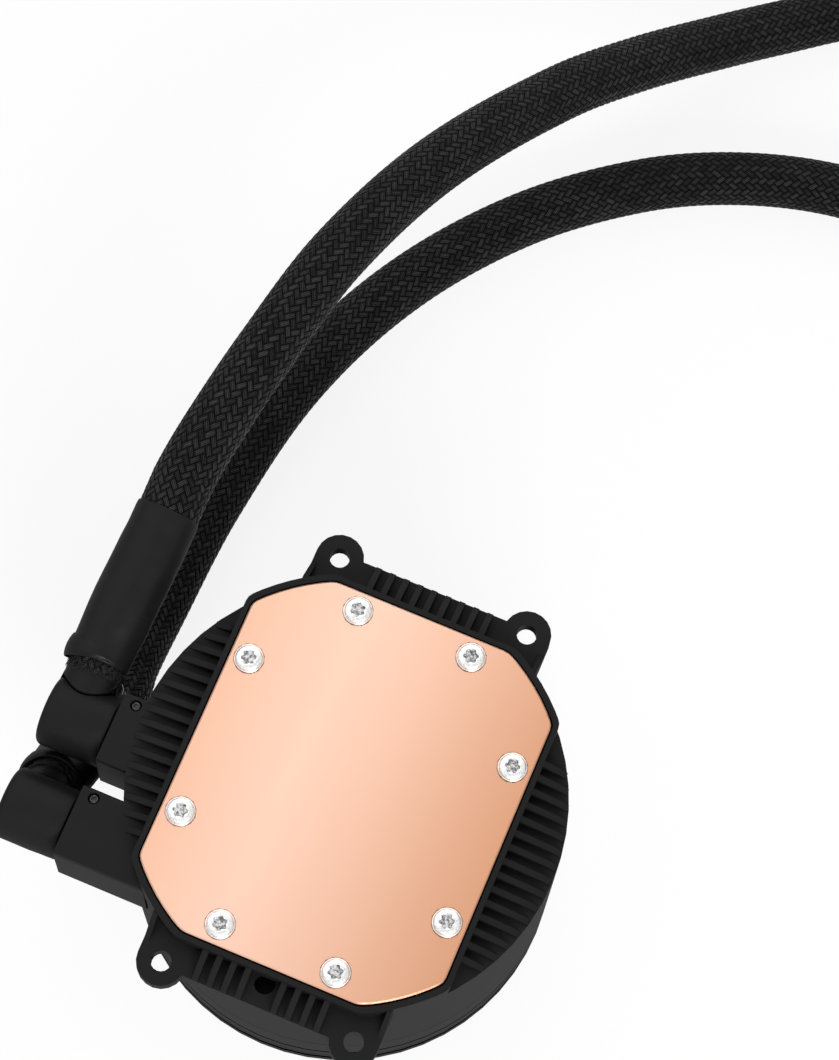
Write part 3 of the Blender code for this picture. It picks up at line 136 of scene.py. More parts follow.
# Square lamps: place and side in metres, power in watts
LAMPS = {
    "key": ((0.52, -0.7, 0.62), 0.5, 11.0),
    "fill": ((-0.6, 0.3, 0.8), 1.2, 3.0),
    "rim": ((-0.1, 0.9, 0.5), 1.0, 3.0),
}
LAMPS_AIM = Vector((0.0, 0.05, 0.03))
FLOOR_GLOW = 0.87  # how much of the floor's look is plain white, which leaves the rest for its shadow
SKY_LEVEL = 0.45  # the light that the surroundings give; where they are seen they are plain white

# Black plastics: how much of the light their satin skin sends back
COAT = 0.18

# Hoses: their routes are those of the part, in metres
HOSE_RADII = {"upper": (0.00555, 0.0051), "lower": (0.00545, 0.00495)}
HOSE_STEP = 0.0005
STRANDS = 26
STRAND_PITCH = 0.00163
WEAVE_SINK = 0.00012  # how far the weave's middle lies under the hose's outside
RIDE_HEIGHT = 0.13  # in millimetres, as are the crown's fall and the heights made with them
CROWN_FALL = 0.3
UPPER_HOSE = (
    (-0.0479, 0.03400, 0.04609), (-0.0479, 0.04026, 0.04697), (-0.0467, 0.0500, 0.0486),
    (-0.0438, 0.0672, 0.0496), (-0.0394, 0.0896, 0.0476), (-0.0309, 0.1154, 0.0398),
    (-0.0174, 0.1426, 0.0262), (-0.0068, 0.1584, 0.0166), (0.0051, 0.1722, 0.0090),
    (0.0150, 0.1814, 0.0060), (0.0266, 0.1902, 0.0056), (0.0460, 0.2014, 0.0056), (0.0640, 0.2074, 0.0058),
    (0.0810, 0.2066, 0.0076), (0.0970, 0.2004, 0.0112), (0.1097, 0.1960, 0.0135), (0.1160, 0.1960, 0.0135),
)
LOWER_HOSE = (
    (-0.0479, 0.00535, 0.01326), (-0.0479, 0.01071, 0.00993), (-0.0486, 0.0150, 0.0084),
    (-0.0487, 0.0260, 0.0056), (-0.0474, 0.0500, 0.0056), (-0.0425, 0.0781, 0.0056),
    (-0.0322, 0.1029, 0.0056), (-0.0166, 0.1243, 0.0056), (0.0017, 0.1399, 0.0056),
    (0.0185, 0.1488, 0.0056), (0.0369, 0.1540, 0.0056), (0.0540, 0.1544, 0.0056), (0.0720, 0.1506, 0.0060),
    (0.0900, 0.1426, 0.0094), (0.1010, 0.1372, 0.0122), (0.1097, 0.1340, 0.0135), (0.1160, 0.1340, 0.0135),
)


def deselect():
    for item in list(bpy.context.selected_objects):
        item.select_set(False)


def linked(name, data):
    """A new object at the origin."""
    item = bpy.data.objects.new(name, data)
    bpy.context.scene.collection.objects.link(item)
    return item


def only(item):
    """The piece becomes the one that is selected and active."""
    deselect()
    item.select_set(True)
    bpy.context.view_layer.objects.active = item
    return item


def make_camera():
    """The photograph's view: 0.62 m from the cold plate, a long lens, looking down on it from its -Y end."""
    data = bpy.data.cameras.new("camera")
    data.sensor_fit = "VERTICAL"
    data.sensor_height = 36.0
    data.lens = 125.66
    camera = linked("camera", data)
    camera.matrix_world = Matrix.Translation(CAMERA_PLACE) @ Matrix(CAMERA_AXES).transposed().to_4x4()
    bpy.context.scene.camera = camera
    bpy.context.scene.view_settings.view_transform = "Standard"


class Wire:
    """A socket inside a finish. Arithmetic on wires adds the Math nodes for it."""

    def __init__(self, finish, socket):
        self.finish = finish
        self.socket = socket

    def math(self, operation, *values):
        return self.finish.node("Math", {"operation": operation}, *values)

    def __add__(self, other):
        return self.math("ADD", self, other)

    def __radd__(self, other):
        return self.math("ADD", other, self)

    def __sub__(self, other):
        return self.math("SUBTRACT", self, other)

    def __rsub__(self, other):
        return self.math("SUBTRACT", other, self)

    def __mul__(self, other):
        return self.math("MULTIPLY", self, other)

    def __rmul__(self, other):
        return self.math("MULTIPLY", other, self)

    def __truediv__(self, other):
        return self.math("DIVIDE", self, other)

    def __pow__(self, other):
        return self.math("POWER", self, other)

    def __mod__(self, other):
        return self.math("FLOORED_MODULO", self, other)

    def __abs__(self):
        return self.math("ABSOLUTE", self)

    def floor(self):
        return self.math("FLOOR", self)

    def cos(self):
        return self.math("COSINE", self)

    def below(self, other):
        return self.math("LESS_THAN", self, other)

    def low(self, other):
        return self.math("MINIMUM", self, other)

    def high(self, other):
        return self.math("MAXIMUM", self, other)

    def smooth(self, start, end, low=0.0, high=1.0):
        """Goes from low to high while the value goes from start to end, with soft ends."""
        return self.finish.node("MapRange", {"interpolation_type": "SMOOTHSTEP"}, self, start, end, low, high)


class Finish:
    """A material with its own way of adding nodes."""

    def __init__(self, name):
        self.material = bpy.data.materials.new(name)
        self.material.use_nodes = True
        self.tree = self.material.node_tree
        self.shader = self.tree.nodes["Principled BSDF"]

    def plug(self, socket, value):
        if isinstance(value, Wire):
            self.tree.links.new(value.socket, socket)
        elif isinstance(value, tuple) and len(value) == 3 and socket.type == "RGBA":
            socket.default_value = (*value, 1.0)
        else:
            socket.default_value = value

    def node(self, kind, settings, *values, output=0, **named):
        """Adds a node: its settings come first, then its sockets in order or by name."""
        made = self.tree.nodes.new("ShaderNode" + kind)
        for key, setting in settings.items():
            setattr(made, key, setting)
        for socket, value in zip(made.inputs, values):
            if value is not None:
                self.plug(socket, value)
        for key, value in named.items():
            self.plug(made.inputs[key.replace("_", " ")], value)
        return Wire(self, made.outputs[output])

    def place(self):
        """Object coordinates, in millimetres."""
        point = self.node("TexCoord", {}, output=3)
        return self.node("VectorMath", {"operation": "SCALE"}, point, Scale=1000.0)

    def stretched(self, point, x, y, z):
        return self.node("VectorMath", {"operation": "MULTIPLY"}, point, (x, y, z))

    def parts(self, point):
        """The three numbers of a vector."""
        split = self.node("SeparateXYZ", {}, point).socket.node
        return [Wire(self, socket) for socket in split.outputs]

    def noise(self, point, scale, detail=3.0, rough=0.5):
        return self.node("TexNoise", {}, Vector=point, Scale=scale, Detail=detail, Roughness=rough)

    def mix(self, factor, first, second):
        """A colour between two."""
        made = self.tree.nodes.new("ShaderNodeMix")
        made.data_type = "RGBA"
        self.plug(made.inputs[0], factor)
        self.plug(made.inputs[6], first)
        self.plug(made.inputs[7], second)
        return Wire(self, made.outputs[2])

    def bump(self, height, distance, strength=1.0, under=None):
        """A bump whose height is a share of a distance in millimetres."""
        normal = self.node("Bump", {}, Strength=strength, Distance=distance * MM, Height=height)
        if under is not None:
            self.plug(normal.socket.node.inputs["Normal"], under)
        return normal

    def set(self, **named):
        for key, value in named.items():
            self.plug(self.shader.inputs[key.replace("_", " ")], value)
        return self


def make_copper():
    """Fine-ground copper with a painted reflection: palest a little left of the middle, deeper towards both
    sides and most towards +X. Soft bands along the plate that are partly grinding marks and partly painted
    reflection, faint grinding lines, a few cloudy patches.
    """
    copper = Finish("ground copper")
    point = copper.place()
    across, along, _ = copper.parts(point)
    bands = copper.noise(copper.stretched(point, 0.09, 0.012, 0.0), 1.0, 2.0)
    clouds = copper.noise(point, 0.05, 3.0)
    lines = copper.noise(copper.stretched(point, 9.0, 0.25, 1.0), 1.0, 4.0, 0.6)
    # Painted reflection: the colour deepens away from across = -10 mm, most towards +X; the bands are partly
    # painted reflection, the clouds are random tone
    past = across + 10.0 - along * 0.03
    depth = (past * 0.0267).high(0.0) ** 1.25 + (past * -0.025).high(0.0) + bands * 0.16 + clouds * 0.1 - 0.12
    colour = copper.mix(depth.high(0.0).low(1.0), (0.79, 0.51, 0.392), (0.60, 0.307, 0.183))
    rough = 0.27 + lines * 0.08 + clouds * 0.06
    normal = copper.bump(lines, 0.004, 0.35)
    return copper.set(Base_Color=colour, Metallic=1.0, Roughness=rough, Normal=normal).material


def make_steel():
    """Bright plated steel with fine scratches."""
    steel = Finish("bright steel")
    point = steel.place()
    marks = steel.noise(point, 3.2, 4.0, 0.6)
    colour = steel.mix(marks.smooth(0.35, 0.65), (0.62, 0.62, 0.62), (0.86, 0.86, 0.85))
    return steel.set(Base_Color=colour, Metallic=1.0, Roughness=marks * 0.2 + 0.2,
                     Normal=steel.bump(marks, 0.02, 0.6)).material


def make_painted_shade_steel():
    """The same steel inside a screw's recess, with painted shade: much darker than the head, in blotches."""
    steel = Finish("steel in a recess with painted shade")
    painted_shade_blots = steel.noise(steel.place(), 1.7, 4.0, 0.7)
    # Painted shade: the recess is painted dark in blotches
    colour = steel.mix(painted_shade_blots.smooth(0.42, 0.58), (0.16, 0.16, 0.165), (0.66, 0.66, 0.66))
    return steel.set(Base_Color=colour, Metallic=0.9, Roughness=painted_shade_blots * 0.3 + 0.25).material


def make_moulding(name, dark, light, rough, grain=0.012, joint_and_crease_shade=None):
    """Black moulded plastic: fine spark-eroded grain, faint cloudy flow marks, and dark lines if asked. These
    are real joints on the drum and painted shade in the crease at an elbow's neck.
    """
    plastic = Finish(name)
    point = plastic.place()
    fine = plastic.noise(point, 5.0, 3.0, 0.6)
    clouds = plastic.noise(point, 0.16, 2.0)
    colour = plastic.mix(clouds * 0.7 + fine * 0.3, (dark, dark, dark * 1.03), (light, light, light * 1.03))
    rough = clouds * 0.1 + fine * 0.1 + (rough - 0.1)
    normal = plastic.bump(fine, grain, 0.5)
    coat = COAT
    if joint_and_crease_shade is not None:
        # Dark lines: real joints on the drum, painted shade in the crease where an elbow's neck meets its
        # barrel
        line = joint_and_crease_shade(*plastic.parts(point))
        colour = plastic.mix(line, colour, (0.0005, 0.0005, 0.0005))
        rough = rough + line * 0.3
        normal = plastic.bump(1.0 - line, 0.2, 0.8, normal)
        coat = (1.0 - line) * COAT
    return plastic.set(Base_Color=colour, Roughness=rough, Specular_IOR_Level=0.0, Coat_Weight=coat,
                       Coat_Roughness=0.4, Normal=normal).material


def neck_crease_shade(y):
    """Painted shade in the crease where an elbow's neck rises out of its barrel, by the distance from the
    barrel's axis.
    """
    def line(_, along, high):
        out = ((along - y) * (along - y) + (high - PORT_HEIGHT) * (high - PORT_HEIGHT)) ** 0.5
        return out.smooth(BARREL_RADIUS + 0.1, BARREL_RADIUS + 0.4, 1.0, 0.0)
    return line


def drum_seams(_, __, high):
    """A fine joint near the drum's middle, a wider one above its foot and a third one just over the floor."""
    fine, wide, foot = (abs(high - middle).smooth(dark, end, 1.0, 0.0)
                        for middle, dark, end in ((9.8, 0.3, 0.55), (4.2, 0.7, 1.0), (1.1, 0.5, 0.8)))
    return fine.high(wide).high(foot)


def make_sleeve():
    """Heat-shrunk tubing: satin, softly uneven where it gripped what is under it."""
    sleeve = Finish("shrink tubing")
    point = sleeve.place()
    waves = sleeve.noise(point, 0.28, 2.0)
    fine = sleeve.noise(point, 3.0, 3.0)
    colour = sleeve.mix(waves, (0.0065, 0.0065, 0.0067), (0.0105, 0.0105, 0.0108))
    soft = sleeve.bump(waves, 0.3, 0.4)
    return sleeve.set(Base_Color=colour, Roughness=waves * 0.12 + 0.4, Specular_IOR_Level=0.0,
                      Coat_Weight=COAT * 1.2, Coat_Roughness=0.38,
                      Normal=sleeve.bump(fine, 0.006, 0.5, soft)).material


def make_braid():
    """Black monofilament braid, two over and two under, three to a strand. Its colour carries painted
    highlights along each filament and painted shade at each strand's edges and ends, where it dips under its
    neighbours.
    """
    braid = Finish("black braid")
    u, v, _ = braid.parts(braid.node("UVMap", {"uv_map": "weave"}))
    first, second = v - u, v + u
    right, left = (first + 0.5).floor(), (second + 0.5).floor()
    order = (left - right) % 4.0
    on_top = order.below(1.5)
    off_right, off_left = first - right, second - left
    across = off_left + on_top * (off_right - off_left)
    strand = (left + 97.0) + on_top * (right - left - 97.0)
    run_right = ((second - right + 1.5) % 4.0) - 2.0
    run_left = ((left - first - 0.5) % 4.0) - 2.0
    run = abs(run_left + on_top * (run_right - run_left))
    filament_relief_and_highlight = (across * (2.0 * math.pi * 3.0)).cos() * 0.5 + 0.5
    edge = abs(across).smooth(0.27, 0.5)
    end = run.smooth(0.6, 1.1)
    shade = braid.node("TexWhiteNoise", {"noise_dimensions": "1D"}, W=strand * 0.37)
    patch = braid.noise(braid.place(), 0.5, 3.0)
    # Painted light: each filament is painted lighter along its crown as a highlight, and a strand's edges and
    # ends are painted dark as shade; the per-strand tone and the patches are random
    light = (filament_relief_and_highlight * 0.6 + shade * 0.35 + patch * 0.4) * (1.0 - edge.high(end) * 0.95)
    colour = braid.mix(light.smooth(0.3, 1.25), (0.0005, 0.0005, 0.0005), (0.04, 0.04, 0.0415))
    height = filament_relief_and_highlight * (1.0 - edge * 0.6) - edge.high(end * 0.7)
    return braid.set(Base_Color=colour, Roughness=0.62 - light * 0.26, Specular_IOR_Level=0.09,
                     Normal=braid.bump(height, 0.12, 1.0)).material


def make_thread(name, colour):
    """Loose yarn, dull and slightly uneven in tone."""
    thread = Finish(name)
    tone = thread.noise(thread.place(), 4.0, 2.0)
    dark = tuple(value * 0.6 for value in colour)
    return thread.set(Base_Color=thread.mix(tone, dark, colour), Roughness=0.75,
                      Specular_IOR_Level=0.25).material


def make_dark_steel():
    """Blackened steel of the retaining pins, worn bright in places."""
    steel = Finish("blackened steel")
    wear = steel.noise(steel.place(), 2.4, 4.0, 0.65)
    colour = steel.mix(wear.smooth(0.4, 0.75), (0.03, 0.03, 0.031), (0.1, 0.1, 0.1))
    return steel.set(Base_Color=colour, Metallic=0.9, Roughness=wear * 0.2 + 0.28).material


def make_striped(name, dark, light, pitch, way, rough, metallic=0.0, depth=0.05):
    """Fine layers: wire turns counted outwards from the axis, or sheets counted upwards."""
    layers = Finish(name)
    point = layers.place()
    across, along, high = layers.parts(point)
    run = high if way == "up" else (across * across + along * along) ** 0.5
    wave = (run * (2.0 * math.pi / pitch)).cos() * 0.5 + 0.5
    tone = layers.noise(point, 0.9, 3.0)
    colour = layers.mix(wave * 0.6 + tone * 0.4, dark, light)
    return layers.set(Base_Color=colour, Metallic=metallic, Roughness=tone * 0.15 + rough,
                      Normal=layers.bump(wave, depth, 0.7)).material


def make_speckled(name, dark, light, scale, rough, metallic=0.0, grain=0.02):
    """A dense body with fine grains of two tones."""
    body = Finish(name)
    point = body.place()
    grains = body.noise(point, scale, 4.0, 0.65)
    clouds = body.noise(point, scale * 0.08, 2.0)
    colour = body.mix((grains * 0.6 + clouds * 0.4).smooth(0.3, 0.7), dark, light)
    return body.set(Base_Color=colour, Metallic=metallic, Roughness=grains * 0.12 + rough,
                    Normal=body.bump(grains, grain, 0.5)).material


def make_board():
    """A lacquered board: fine tracks under green lacquer, with a few round bright pads."""
    board = Finish("circuit board")
    point = board.place()
    across = board.parts(point)[0]
    bend = board.noise(board.stretched(point, 0.12, 0.12, 0.0), 1.0, 1.0)
    tracks = ((across + bend * 14.0) * (2.0 * math.pi / 1.6)).cos().smooth(0.35, 0.6)
    cells = board.node("TexVoronoi", {"feature": "DISTANCE_TO_EDGE"}, Vector=point, Scale=0.22)
    pads = cells.smooth(1.45, 1.6)
    green = board.mix(tracks, (0.008, 0.045, 0.022), (0.014, 0.09, 0.04))
    colour = board.mix(pads, green, (0.75, 0.72, 0.66))
    return board.set(Base_Color=colour, Metallic=pads * 0.9, Roughness=0.32 - tracks * 0.06,
                     Normal=board.bump(tracks, 0.03, 0.6)).material


def make_fin_metal():
    """Thin fins with rows of small louvres, under the same black paint, with a painted highlight along each
    row.
    """
    fins = Finish("painted fins")
    point = fins.place()
    high = fins.parts(point)[2]
    slats = (high * (2.0 * math.pi / 1.1)).cos().smooth(0.2, 0.9)
    tone = fins.noise(point, 0.7, 3.0)
    # Painted highlight: the colour is lighter along each row of louvres
    colour = fins.mix(slats * 0.5 + tone * 0.5, (0.008, 0.008, 0.009), (0.03, 0.03, 0.031))
    return fins.set(Base_Color=colour, Roughness=tone * 0.2 + 0.35, Metallic=0.3,
                    Normal=fins.bump(slats, 0.25, 0.8)).material


def drawn(name, surface, place=None):
    """Gives the piece that was just drawn its name, place and finish."""
    item = only(bpy.context.active_object)
    item.name = name
    if place is not None:
        item.matrix_world = place @ item.matrix_world
    bpy.ops.object.transform_apply(location=True, rotation=True, scale=True)
    item.data.materials.clear()
    item.data.materials.append(surface)
    return item


def lathe(name, rings, surface, steps, place):
    """A turned piece about Z, drawn ring after ring. A ring is (radius, height), in millimetres."""
    deselect()
    start, low = rings[0]
    bpy.ops.mesh.primitive_circle_add(vertices=steps, radius=start * MM, location=(0, 0, low * MM))
    item = drawn(name, surface)
    bpy.ops.object.mode_set(mode="EDIT")
    bpy.ops.mesh.select_all(action="SELECT")
    for (before, low), (after, high) in zip(rings, rings[1:]):
        bpy.ops.mesh.extrude_region_move(TRANSFORM_OT_translate={"value": (0, 0, (high - low) * MM)})
        size = after / before
        bpy.ops.transform.resize(value=(size, size, 1.0), center_override=(0, 0, high * MM))
    bpy.ops.mesh.select_all(action="SELECT")
    bpy.ops.mesh.fill_holes(sides=0)
    bpy.ops.mesh.normals_make_consistent(inside=False)
    bpy.ops.object.mode_set(mode="OBJECT")
    item.matrix_world = place
    bpy.ops.object.transform_apply(location=True, rotation=True, scale=True)
    bpy.ops.object.shade_smooth_by_angle(angle=math.radians(40))
    return item


def turned_edge(radius, height, ease, start, end, steps=5):
    """Rings along a rounded edge whose middle is at (radius, height), with angles in degrees."""
    angles = [math.radians(start + (end - start) * step / steps) for step in range(steps + 1)]
    return [(radius + ease * math.cos(angle), height + ease * math.sin(angle)) for angle in angles]


def millimetres(matrix):
    """The same place with its offset given in metres."""
    matrix = matrix.copy()
    matrix.translation *= MM
    return matrix


def elbow_place(side):
    """An elbow's own frame: its X along the port, its Y out of the mouth."""
    y, turn = PORTS[side]
    return Matrix.Translation((-ARM_END, y, PORT_HEIGHT)) @ Matrix.Rotation(math.radians(turn), 4, "X")


def settled(item, body, slot, *nodes):
    """Ties a piece to its body and hides the nodes that it stands for. The slot that it is given is not used.
    """
    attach(item, body)
    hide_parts(*nodes)
    return item


def apply_all(item):
    only(item)
    for step in list(item.modifiers):
        bpy.ops.object.modifier_apply(modifier=step.name)
    return item


def rounded_off(item, width, segments=2, angle=30.0):
    """Rounds the sharp edges of a piece."""
    step = item.modifiers.new("rounded edges", "BEVEL")
    step.width = width * MM
    step.segments = segments
    step.limit_method = "ANGLE"
    step.angle_limit = math.radians(angle)
    apply_all(item)
    return evened(item)


def evened(item, angle=35.0):
    """Smooth shading whose large flat faces stay flat."""
    only(item)
    bpy.ops.object.shade_smooth_by_angle(angle=math.radians(angle))
    step = item.modifiers.new("even shading", "WEIGHTED_NORMAL")
    step.keep_sharp = True
    return apply_all(item)


def joined(name, pieces):
    """Several pieces become one."""
    deselect()
    for piece in pieces:
        piece.select_set(True)
    bpy.context.view_layer.objects.active = pieces[0]
    bpy.ops.object.join()
    pieces[0].name = name
    return pieces[0]


def picked(item, test):
    """Opens a piece for editing with only the corners selected that pass a test."""
    only(item)
    bpy.ops.object.mode_set(mode="EDIT")
    bpy.ops.mesh.select_mode(type="VERT")
    bpy.ops.mesh.select_all(action="DESELECT")
    bpy.ops.object.mode_set(mode="OBJECT")
    for vert in item.data.vertices:
        vert.select = test(vert.co)
    bpy.ops.object.mode_set(mode="EDIT")


def copied(item, offset):
    """A copy with its own mesh, moved by millimetres."""
    only(item)
    bpy.ops.object.duplicate_move(TRANSFORM_OT_translate={"value": tuple(Vector(offset) * MM)})
    bpy.ops.object.transform_apply(location=True, rotation=False, scale=False)
    return bpy.context.active_object


def make_elbow(side, surface):
    """An elbow: a barrel with a rounded end on the port, and a neck out of its side."""
    place = elbow_place(side)
    outwards = place @ Matrix.Rotation(math.radians(-90), 4, "Y")
    ease = 1.3
    rings = [(2.4, -11.9), (4.1, -12.0), (4.6, -11.5), (4.6, 0.3), (5.9, 0.3),
             *turned_edge(5.9, 0.6, 0.3, -90, 0, 3), (6.25, 3.0), (BARREL_RADIUS, 5.0),
             *turned_edge(BARREL_RADIUS - ease, BARREL_LENGTH - ease, ease, 0, 90, 7),
             (2.0, BARREL_LENGTH + 0.05)]
    barrel = lathe(f"elbow_barrel_{side}", rings, surface, 64, millimetres(outwards))
    upright = (place @ Matrix.Translation((-ELBOW_MOUTH - NECK_OUT, 0, 0))
               @ Matrix.Rotation(math.radians(-90), 4, "X"))
    rings = [*NECK_RINGS, *turned_edge(4.5, 9.8, 0.3, 0, 90, 3), (3.0, 10.1)]
    # The neck's finish paints shade into the crease where it meets the barrel
    dark = make_moulding(f"moulded neck with painted crease shade {side}", 0.007, 0.011, 0.46, joint_and_crease_shade=neck_crease_shade(PORTS[side][0]))
    neck = lathe(f"elbow_neck_{side}", rings, dark, 48, millimetres(upright))
    return settled(joined(f"elbow_body_{side}", [barrel, neck]), f"elbow_{side}", "moulding", f"elbow_{side}")


def collar_middle(along, bend, out):
    """The middle of a shrink sleeve at a distance from its start, in the elbow mouth's frame."""
    past = along - COLLAR_STRAIGHT
    aside = -out * max(0.0, 1.0 - along / COLLAR_LENGTH)
    if not bend or past <= 0:
        return Vector((aside, COLLAR_START + along, 0.0))
    angle = past / COLLAR_BEND_RADIUS
    return Vector((aside, COLLAR_START + COLLAR_STRAIGHT + COLLAR_BEND_RADIUS * math.sin(angle),
                   COLLAR_BEND_RADIUS * (1 - math.cos(angle))))


def piped(name, lines, radius, roundness):
    """Round tubing or yarn. Each line is a list of (place in millimetres, share of the radius)."""
    curve = bpy.data.curves.new(name, "CURVE")
    curve.dimensions = "3D"
    curve.bevel_depth = radius * MM
    curve.bevel_resolution = roundness
    for spots in lines:
        line = curve.splines.new("POLY")
        line.points.add(len(spots) - 1)
        for point, (place, share) in zip(line.points, spots):
            point.co = (*(place * MM), 1.0)
            point.radius = share
    only(linked(name, curve))
    bpy.ops.object.convert(target="MESH")


def make_sleeve_piece(name, place, bend, out, surface):
    """Shrink tubing over a hose end: flared rim, a waist behind it, and an uneven body."""
    spots = []
    for along in [*np.linspace(0.0, 2.0, 12), *np.linspace(2.2, 28.0, 70), *np.linspace(28.1, 28.72, 8)]:
        middle = collar_middle(float(along), bend, out)
        flare = FLARE * math.exp(-((along - FLARE_MIDDLE) / FLARE_REACH) ** 2)
        middle.x -= flare if out else 0.0
        spots.append((place @ middle, float(np.interp(along, *zip(*SLEEVE_SHAPE))) + flare))
    piped(name, [spots], 1.0, 14)
    body = drawn(name, surface)
    rim_place = millimetres(place @ Matrix.Translation((-out - 0.08, COLLAR_START + 0.35, 0))
                            @ Matrix.Rotation(math.pi / 2, 4, "X"))
    deselect()
    bpy.ops.mesh.primitive_torus_add(major_radius=5.2 * MM, minor_radius=0.46 * MM, major_segments=64,
                                     minor_segments=16)
    rim = drawn(f"{name}_rim", surface, rim_place)
    sleeve = joined(name, [body, rim])
    clouds = bpy.data.textures.new(f"{name}_unevenness", "CLOUDS")
    clouds.noise_scale = 0.006
    clouds.noise_depth = 1
    step = sleeve.modifiers.new("uneven", "DISPLACE")
    step.texture = clouds
    step.texture_coords = "LOCAL"
    step.strength = 0.3 * MM
    step.mid_level = 0.5
    apply_all(sleeve)
    bpy.ops.object.shade_smooth_by_angle(angle=math.radians(60))
    return sleeve


def make_fuzz(name, place, surface, seed):
    """Short frayed yarn ends around the cut edge of the braid, with a longer tuft on the pump's side."""
    chance = np.random.default_rng(seed)
    lines = []
    for number in range(YARN_ENDS):
        tuft = number % 3 == 0
        angle = chance.uniform(-0.5, 0.5) if tuft else chance.uniform(0, 2 * math.pi)
        lean, lift = chance.normal(0, 0.25), chance.uniform(0.2, 1.0)
        start, down = (chance.uniform(8.6, 10.3), 2.0) if tuft else (chance.uniform(8.1, 10.2), 0.6)
        bow = chance.uniform(0.4, 1.2)
        spots = []
        for t in (0.0, 1 / 3, 2 / 3, 1.0):
            radius = YARN_START_RADIUS + (0.8 if tuft else 0.3) * lift * t * (1.4 - 0.5 * t)
            turn = angle + lean * t
            point = Vector((radius * math.cos(turn), start - down * t * bow, radius * math.sin(turn)))
            spots.append((place @ point, 1.0 - 0.5 * t))
        lines.append(spots)
    piped(name, lines, YARN_RADIUS, 0)
    return drawn(name, surface)


def make_white_threads(place, surface):
    """Two pale yarn ends below the upper sleeve, on the side of the pump."""
    lines = [[(place @ Vector(point), 1.0) for point in points] for points in WHITE_YARN]
    piped("white_threads", lines, WHITE_YARN_RADIUS, 1)
    return drawn("white_threads", surface)


def hollowed(item, cutter):
    """Cuts a shape out of a piece. The walls of the cut take the cutter's finish."""
    step = item.modifiers.new("hollow", "BOOLEAN")
    step.operation = "DIFFERENCE"
    step.solver = "EXACT"
    step.material_mode = "TRANSFER"
    step.object = cutter
    apply_all(item)
    bpy.data.objects.remove(cutter)


def make_screw(surface, recess):
    """One pan-head screw: rounded head with a flat rim and a six-lobed recess."""
    rings = [(radius, PLATE_TOP + high) for radius, high in SCREW_RINGS]
    screw = lathe("screw", rings, surface, 48, Matrix())
    deselect()
    bpy.ops.mesh.primitive_cylinder_add(vertices=36, radius=1.32 * MM, depth=2.0 * MM,
                                        location=(0, 0, (PLATE_TOP + 1.15) * MM))
    # The recess walls take the steel with painted shade
    lobes = drawn("screw_recess", recess)
    for shrink, steps in ((0.74, (3,)), (0.83, (2, 4)), (0.96, (1, 5))):
        picked(lobes, lambda at: round(math.degrees(math.atan2(at.y, at.x)) / 10) % 6 in steps)
        bpy.ops.transform.resize(value=(shrink, shrink, 1.0), center_override=(0, 0, (PLATE_TOP + 1.2) * MM))
        bpy.ops.object.mode_set(mode="OBJECT")
    hollowed(screw, lobes)
    return rounded_off(screw, 0.05, 2, 50.0)


def make_screws(surface, recess):
    """Eight plate screws from one, each turned its own way."""
    first = make_screw(surface, recess)
    chance = np.random.default_rng(5)
    for number, (x, y) in enumerate(SCREW_PLACES, 1):
        screw = copied(first, (0, 0, 0))
        screw.name = f"plate_screw_{number}"
        turn = Matrix.Rotation(float(chance.uniform(-0.35, 0.35)) + 0.5, 4, "Z")
        screw.matrix_world = Matrix.Translation((x * MM, y * MM, 0)) @ turn
        bpy.ops.object.transform_apply(location=True, rotation=True, scale=True)
        settled(screw, "pump", "steel", f"cold_plate_screw_{number}")
    bpy.data.objects.remove(first)


def make_pins(surface):
    """Retaining pins with a hexagon socket, sunk into the arms."""
    for side, (x, y) in zip(("upper", "lower"), PIN_PLACES):
        top = ARM_TOP - PIN_SINK
        deselect()
        bpy.ops.mesh.primitive_cylinder_add(vertices=40, radius=PIN_RADIUS * MM, depth=PIN_LENGTH * MM,
                                            location=(x * MM, y * MM, (top - PIN_LENGTH / 2) * MM))
        pin = drawn(f"pin_{side}", surface)
        deselect()
        bpy.ops.mesh.primitive_cylinder_add(vertices=6, radius=0.46 * MM, depth=1.0 * MM,
                                            location=(x * MM, y * MM, top * MM))
        hollowed(pin, drawn("socket", surface))
        settled(rounded_off(pin, 0.09, 2), "pump", "steel", f"retaining_pin_{side}")


